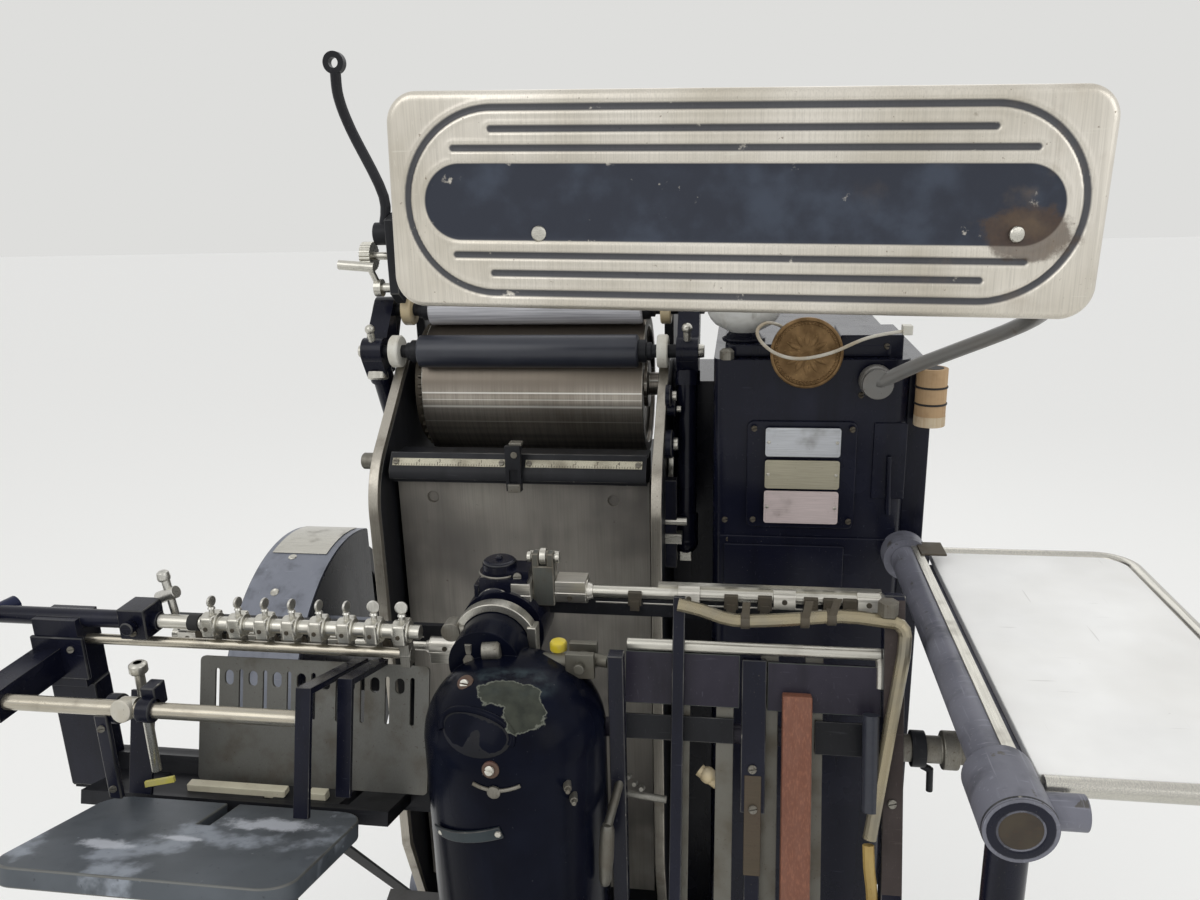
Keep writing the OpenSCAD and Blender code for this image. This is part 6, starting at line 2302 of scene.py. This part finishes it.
@dataclass
class FeedSide:
    """Feed table, perforated stop plate, guides, and the sucker bar over them."""

    stop_x: float = -290.0
    stop_width: float = 246.0
    stop_height: float = 128.0
    pitch: float = 26.2
    bar_y: float = -170.0
    bar_z: float = 1080.0
    collar_pitch: float = 28.0
    collars: int = 8

    def build(self, shop: Workshop) -> None:
        """Makes the feed side's pieces."""
        # The table's edges take a lighter copy of the edge finish: worn metal and painted highlight.
        shop.recast("feed_table", TABLE, 1.6, replace(FIN.edge, name="table_edge", colour=(104, 106, 104)))
        shop.recast("feed_column", FIN.iron, 1.2, FIN.edge)
        shop.recast("feed_side_guides", FIN.black, 0.9, FIN.edge)
        shop.recast("sucker_bar", FIN.steel, 0.8)
        shop.recast("sucker_bracket", FIN.black, 1.2, FIN.edge)
        self.stop_plate(shop)
        self.collar_row(shop)
        self.bar_fittings(shop)
        self.rods(shop)
        self.blocks(shop)
        self.small_parts(shop)

    def stop_plate(self, shop: Workshop) -> None:
        """The pierced plate, made by the sheet tree and stood up behind the table."""
        plate = replace(FIN.zinc, name="stop_plate_steel", slot="worn_steel", colour=(132, 132, 127))
        x = self.stop_x + self.stop_width / 2
        first = 19.0 - self.stop_width / 2
        values = {
            "Size": [self.stop_width * MM, self.stop_height * MM, 3.0 * MM],
            "Rounding": 5.0 * MM,
            "First slot": [first * MM, (self.stop_height / 2 - 36.0) * MM, 0.0],
            "Slot size": [4.6 * MM, 48.0 * MM, 0.0],
            "Slots": 9,
            "First hole": [(first + self.pitch / 2) * MM, (self.stop_height / 2 - 21.0) * MM, 0.0],
            "Hole size": [9.8 * MM, 15.6 * MM, 0.0],
            "Holes": 8,
            "Pitch": [self.pitch * MM, 0.0, 0.0],
            "Finish": plate.material(),
        }
        mesh = shop.repeat.bake(shop.repeat.sheet_tree(), values)
        foot = Matrix.Translation((x * MM, 153.0 * MM, self.stop_height / 2 * MM))
        upright = Matrix.Rotation(math.radians(90), 4, "X")
        mesh.transform(feed_matrix() @ (foot @ upright))
        shop.add("stop_plate", mesh, plate, ("feed_stop_plate",), bevel=0.4)

    def collar_row(self, shop: Workshop) -> None:
        """Thumb screws, set screws, square collars and suckers along the bar."""
        spot = (-254.0, self.bar_y + 1.0, self.bar_z + 10.2)
        step = (self.collar_pitch, 0.0, 0.0)
        last = (spot[0] + step[0] * (self.collars - 2), spot[1], spot[2])
        front = (-255.0, self.bar_y - 11.4, self.bar_z - 1.0)
        block = Shape().box((-6.6, -12.0, -10.8), (6.6, 11.2, 10.8))
        cup = Shape().lathe([(3.4, 0.0), (3.4, 12.0), (5.6, 14.0), (6.4, 19.0), (5.4, 19.4)], ORIGIN, DOWN, 18)
        for name, part, finish, count, start, turn, bevel in (
            ("thumb_screws", thumb_screw(8.0), FIN.steel_z, self.collars - 2, spot, (0, 6, 78), 0.4),
            ("thumb_screws_flat", thumb_screw(8.8), FIN.steel_z, 2, last, (-4, 0, 8), 0.4),
            ("set_screws", screw_head(2.2, 1.4, 0.7), FIN.gear, self.collars, front, (90, 0, 0), 0.1),
            ("collar_blocks", block, FIN.steel, self.collars, (-254.0, self.bar_y, self.bar_z), ORIGIN, 2.6),
            ("sucker_cups", cup, FIN.zinc, self.collars, (-254.0, self.bar_y + 6.0, self.bar_z - 10.0), ORIGIN, 0.3),
        ):
            shop.copy(name, Rule.ROW, part, finish, count=count, start=start, step=step, turn=turn, bevel=bevel)

    def bar_fittings(self, shop: Workshop) -> None:
        """The bar's rubber sleeve, tee handle and clamp."""
        sleeve = Shape().lathe(
            [(7.4, 0.0), (8.2, 0.4), (8.2, 11.6), (7.4, 12.0)], (-278.0, self.bar_y, self.bar_z), RIGHT, 32
        )
        shop.add("bar_sleeve", sleeve, BELT, bevel=0.2)
        handle = Shape().rod((-322.0, -150.0, 1095.0), (-300.0, -152.0, 1104.0), 6.4)
        handle.rod((-313.0, -149.0, 1122.0), (-305.0, -152.0, 1078.0), 4.4, 4.0)
        handle.lathe(
            [(5.6, 0.0), (6.6, 3.0), (6.0, 9.0), (3.0, 11.0)], (-313.0, -149.0, 1114.0), (-0.15, 0.05, 1.0), 24
        )
        shop.add("tee_handle", handle, FIN.steel_z, bevel=0.7)
        clamp = Shape().rod((-60.0, self.bar_y - 2.0, 1058.0), (-49.0, self.bar_y - 2.0, 1058.0), 7.4, steps=8)
        clamp.box((-60.0, self.bar_y - 9.0, 1046.0), (-50.0, self.bar_y + 5.0, 1070.0))
        shop.add("bar_clamp", clamp, FIN.zinc, bevel=0.9)

    def rods(self, shop: Workshop) -> None:
        """The two bright guide rods and the disc on the front one."""
        rods = Shape().rod((-412.4, -264.8, 1040.0), (-117.6, -264.8, 1040.0), 7.3)
        rods.rod((-392.3, -172.0, 1058.0), (-56.7, -172.0, 1058.0), 5.3)
        nickel = replace(FIN.steel, name="warm_nickel", colour=(196, 188, 170), rough=0.24)
        shop.add("feed_rods", rods, nickel, bevel=0.9)
        end = Shape().lathe(
            [(9.0, 0.0), (10.6, 1.2), (10.6, 12.0), (8.0, 13.0)], (-289.0, -262.0, 1040.0), (-0.1, -1.0, 0.2), 40
        )
        shop.add(
            "rod_end_disc",
            end,
            replace(NYLON, name="silver_disc", slot="bright_steel", colour=(206, 202, 190), metal=0.4),
            bevel=0.4,
        )

    def blocks(self, shop: Workshop) -> None:
        """Clamp blocks, side plates and posts at the far left."""
        black = Shape()
        black.box((-345.0, -186.0, 1066.0), (-316.0, -154.0, 1098.0))
        black.box((-444.0, -188.5, 1020.0), (-386.0, -184.0, 1066.0))
        black.rod((-330.0, -196.0, 1082.0), (-330.0, -186.0, 1082.0), 7.0, 6.0, 24)
        black.box((-323.0, -268.0, 944.0), (-310.0, -262.0, 1033.0))
        black.rod((-318.0, -250.0, 1030.0), (-306.0, -250.0, 1030.0), 14.0, steps=32)
        black.box((-441.0, -177.0, 886.0), (-391.0, -151.5, 1009.0))
        black.rod((-276.0, -264.8, 1040.0), (-262.0, -264.8, 1040.0), 11.4, steps=36)
        black.box((-276.0, -262.0, 1038.0), (-262.0, -244.0, 1060.0))
        shop.add("feed_blocks", black, FIN.black, bevel=1.4, edge=FIN.edge)
        post = Shape().rod((-293.0, -236.0, 955.0), (-293.0, -236.0, 1071.0), 4.6)
        post.lathe([(7.0, 0.0), (8.4, 2.0), (8.4, 9.0), (6.0, 11.0)], (-293.0, -236.0, 1060.0), UP, 24)
        post.rod((-296.0, -262.0, 1040.0), (-280.0, -262.0, 1040.0), 9.6, steps=24)
        post.rod((-124.0, -264.8, 1040.0), (-116.0, -264.8, 1040.0), 8.6, steps=32)
        shop.add("feed_posts", post, FIN.steel, bevel=0.7)

    def small_parts(self, shop: Workshop) -> None:
        """The stop plate's pale foot, the yellow tag, the curved handle and the blocks' screws."""
        foot = Shape()
        foot.prism([(0, 0), (100, 0), (104, 3), (104, 9), (0, 9)], feed(-282.0, 128.0, 1.0), RIGHT, UP, 10.0)
        foot.prism(oblong(18, 9), feed(-154.0, 128.0, 1.0), RIGHT, UP, 10.0)
        pale = replace(CREAM, name="pale_strip", slot="white_board", colour=(214, 208, 184))
        shop.add("stop_foot", foot, pale, bevel=0.8)
        tape = Shape().prism([(0, 0), (31, 8), (31, 14), (0, 6)], (-291.0, -256.0, 952.0), RIGHT, UP, 3.0)
        shop.add("yellow_tag", tape, replace(CREAM, name="yellow_tag", colour=(206, 196, 92)), bevel=0.3)
        tube_path = [
            (-486.0, -150.0, 1082.0), (-498.0, -196.0, 1078.0), (-506.0, -236.0, 1058.0), (-508.0, -252.0, 1016.0),
            (-507.0, -254.0, 960.0),
        ]
        tube = Shape().sweep(smooth_path(tube_path, 6), 9.0, 20)
        navy = replace(FIN.black, name="navy_tube", colour=(24, 32, 62))
        shop.add("side_handle", tube, navy, bevel=0.0, angle=60.0)
        dots = [
            (-430.0, -188.8, 1030.0), (-400.0, -188.8, 1054.0), (-330.0, -186.4, 1074.0), (-316.5, -268.4, 1020.0),
            (-316.5, -268.4, 956.0),
        ]
        shop.screws("feed_screws", (3.4, 2.2, 1.0), FIN.worn, (90, 0, 25), dots, 0.2)


@dataclass
class InkUnit:
    """Fountain, its frames, riders, knob, crank and the throw-off lever."""

    cheek: float = 173.0

    def build(self, shop: Workshop) -> None:
        """Makes the ink unit's pieces."""
        shop.recast("ink_frames", FIN.iron, 1.2, FIN.edge)
        shop.recast("ink_fountain", FIN.worn, 0.7)
        shop.recast("rider_rollers", RUBBER, 0.8)
        shop.recast("fountain_knob", FIN.steel, 0.6)
        shop.recast("fountain_crank", FIN.steel, 0.8)
        shop.dress("throw_off_lever", FIN.iron)
        thumb = Shape().lathe(
            [(4.0, 0.0), (4.0, 5.0), (7.5, 6.0), (8.0, 8.0), (8.0, 15.0), (7.0, 16.0)], ORIGIN, UP, 18
        )
        shop.copy(
            "fountain_keys",
            Rule.ROW,
            thumb,
            FIN.steel_z,
            count=12,
            start=(-143.0, 417.0, 1410.0),
            step=(26.0, 0.0, 0.0),
            turn=(150, 0, 0),
            bevel=0.3,
        )
        places = ((300.0, 1470.0), (420.0, 1460.0), (300.0, 1340.0), (380.0, 1330.0))
        shop.side_bolts("ink_frame_bolts", (8.0, 6.5), self.cheek, places, 0.4)


@dataclass
class Drive:
    """Flywheel with its guard, motor and flat belt, and the platen in front of the bed."""

    guard_x: float = -284.0
    centre: tuple[float, float] = (220.0, 800.0)
    rim_radius: float = 215.6
    side_radius: float = 213.6

    def build(self, shop: Workshop) -> None:
        """Makes the drive's pieces."""
        shop.recast("flywheel", FIN.iron, 1.6)
        shop.recast("flywheel_guard", BLUE_GREY, 1.6, FIN.black)
        shop.recast("motor", BLUE_GREY, 1.2)
        shop.dress("drive_belt", BELT)
        shop.recast("platen", GREY_IRON, 1.6)
        self.wheel_hub(shop)
        self.motor(shop)
        self.wheel_guard(shop)

    def wheel_hub(self, shop: Workshop) -> None:
        """The flywheel's hub with its key."""
        y, z = self.centre
        hub = Shape().lathe(
            [(34.0, 0.0), (34.0, 4.0), (26.0, 8.0), (12.0, 9.0)], (self.guard_x - 76.0, y, z), LEFT, 48
        )
        hub.box((self.guard_x - 92.0, y - 5.0, z + 16.0), (self.guard_x - 76.0, y + 5.0, z + 25.0))
        shop.add("wheel_hub", hub, FIN.worn, bevel=0.8)

    def motor(self, shop: Workshop) -> None:
        """The motor's lifting eye, shaft end and bare plate."""
        box = shop.box_of("motor")
        eye = Shape()
        middle = ((box[0][0] + box[1][0]) / 2, (box[0][1] + box[1][1]) / 2)
        eye.rod(
            (middle[0] + 30.0, middle[1], box[1][2] - 6.0),
            (middle[0] + 30.0, middle[1], box[1][2] - 0.5),
            9.0,
            steps=8,
        )
        eye.lathe([(8.0, 0.0), (8.0, 4.0), (6.0, 5.0), (6.0, 14.0)], (-36.0, middle[1], box[0][2] + 80.0), RIGHT, 24)
        shop.add("motor_eye", eye, FIN.worn, bevel=0.6)
        plate = Shape().prism(oblong(52, 30), (-150.0, box[0][1] - 0.5, box[0][2] + 60.0), RIGHT, UP, 1.6)
        shop.add("motor_plate", plate, FIN.zinc, bevel=0.4)

    def wheel_guard(self, shop: Workshop) -> None:
        """The bright plate on the guard's rim as a painted highlight, the dark side and two screws."""
        y, z = self.centre
        # Painted highlight: a bright steel plate on the rim where the light reflects.
        rim = self.rim_plate()
        shop.add("guard_label", rim, FIN.steel, bevel=0.3)
        outline = arc(self.side_radius, [*range(71, 211, 5), 211]) + [(69.6, -109.6)]
        side = Shape().prism(outline, (self.guard_x, y, z), BACK, UP, 0.8)
        shop.add("guard_side", side, FIN.black, bevel=0.3)
        heads = Shape()
        seat = self.rim_radius - 0.8
        for turn in (105.0, 122.0):
            a = math.radians(turn)
            spot = (self.guard_x - 56.0, y + seat * math.cos(a), z + seat * math.sin(a))
            heads.lathe(
                [(2.4, 0.0), (5.6, 0.0), (5.6, 1.0), (4.8, 1.6), (2.4, 0.6)],
                spot,
                (0.0, math.cos(a), math.sin(a)),
                28,
            )
        shop.add("guard_screws", heads, FIN.steel, bevel=0.0)

    def rim_plate(self) -> Shape:
        """A thin bright steel plate on the curved rim of the flywheel's guard, a painted highlight where the rim
        reflects the light.
        """
        y, z = self.centre
        inner = Shape()
        spread = range(75, 104, 4)
        outline = arc(self.rim_radius + 1.2, spread) + arc(self.rim_radius, spread[::-1])
        inner.prism(outline, (self.guard_x - 88.0, y, z), BACK, UP, 78.0)
        bmesh.ops.recalc_face_normals(inner.bm, faces=inner.bm.faces)
        return inner


# Studio


@dataclass(frozen=True)
class Studio:
    """Camera, lamps, world and floor."""

    eye: Point = (257.5, -951.5, 1494.0)
    right: Point = (0.9893, 0.1432, -0.0268)
    above: Point = (-0.0145, 0.2799, 0.9596)
    ahead: Point = (-0.145, 0.949, -0.279)
    lens: float = 28.26
    floor_size: float = 40.0
    lamps: tuple[tuple[str, Point, float, float], ...] = (
        ("key", (-1.6, -2.6, 3.6), 2.4, 27.0),
        ("fill", (2.8, -1.8, 2.6), 2.0, 15.0),
        ("back", (0.4, 2.8, 3.2), 2.4, 13.0),
    )

    def build(self) -> None:
        """Sets up the whole studio."""
        self.camera()
        self.world()
        self.floor()
        for lamp in self.lamps:
            self.lamp(*lamp)

    def camera(self) -> None:
        """A camera at the photograph's place."""
        data = bpy.data.cameras.new("view")
        data.lens = self.lens
        data.sensor_width = 36.0
        data.clip_start = 0.02
        camera = bpy.data.objects.new("view", data)
        bpy.context.scene.collection.objects.link(camera)
        back = -Vector(self.ahead)
        axes = Matrix((self.right, self.above, back)).transposed().to_4x4()
        turn = axes.to_quaternion().normalized().to_matrix().to_4x4()
        camera.matrix_world = Matrix.Translation(Vector(self.eye) * MM) @ turn
        bpy.context.scene.camera = camera

    def world(self) -> None:
        """Even white light, behind a pale grey that only the camera sees."""
        world = bpy.data.worlds.new("studio")
        bpy.context.scene.world = world
        world.use_nodes = True
        world.node_tree.nodes.clear()
        graph = Graph(world.node_tree)
        path = graph.node("ShaderNodeLightPath")
        seen = Value(graph, path.outputs["Is Camera Ray"])
        light = graph.node("ShaderNodeBackground", None, {"Color": (1, 1, 1, 1), "Strength": 0.86})
        ground = graph.node("ShaderNodeBackground", None, {"Color": rgba((222, 222, 220)), "Strength": 1.0})
        mixed = graph.node("ShaderNodeMixShader", None, {0: seen, 1: light.outputs[0], 2: ground.outputs[0]})
        graph.node("ShaderNodeOutputWorld", None, {"Surface": mixed.outputs[0]})

    def floor(self) -> None:
        """A plain pale floor."""
        half = self.floor_size * 500.0
        shape = Shape().box((-half, -half, -30.0), (half, half, -0.5))
        floor = bpy.data.objects.new("floor", shape.mesh("floor"))
        bpy.context.scene.collection.objects.link(floor)
        finish = Finish("pale_floor", "grey_iron", (242, 242, 240), 0.8, drift=0.0)
        floor.data.materials.append(finish.material())

    def lamp(self, name: str, spot: Point, size: float, watts: float) -> None:
        """A soft square lamp that faces the press."""
        data = bpy.data.lights.new(name, "AREA")
        data.shape = "SQUARE"
        data.size = size
        data.energy = watts
        lamp = bpy.data.objects.new(name, data)
        bpy.context.scene.collection.objects.link(lamp)
        aim = Vector((0.1, 0.0, 1.1)) - Vector(spot)
        lamp.location = spot
        lamp.rotation_mode = "QUATERNION"
        lamp.rotation_quaternion = aim.to_track_quat("-Z", "Y")


def main() -> None:
    """Builds the press's looks."""
    logging.basicConfig(level=logging.INFO, format="%(name)s: %(message)s")
    bpy.context.scene.view_settings.view_transform = "Standard"
    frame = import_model()
    Studio().build()
    shop = Workshop(frame)
    for part in (
        TypeBed(), InkTrain(), InkUnit(), Guard(), Cabinet(), Rotor(), DomeHousing(), Delivery(), FeedSide(), Drive()
    ):
        LOG.info("building %s", type(part).__name__)
        part.build(shop)


if __name__ == "__main__":
    main()
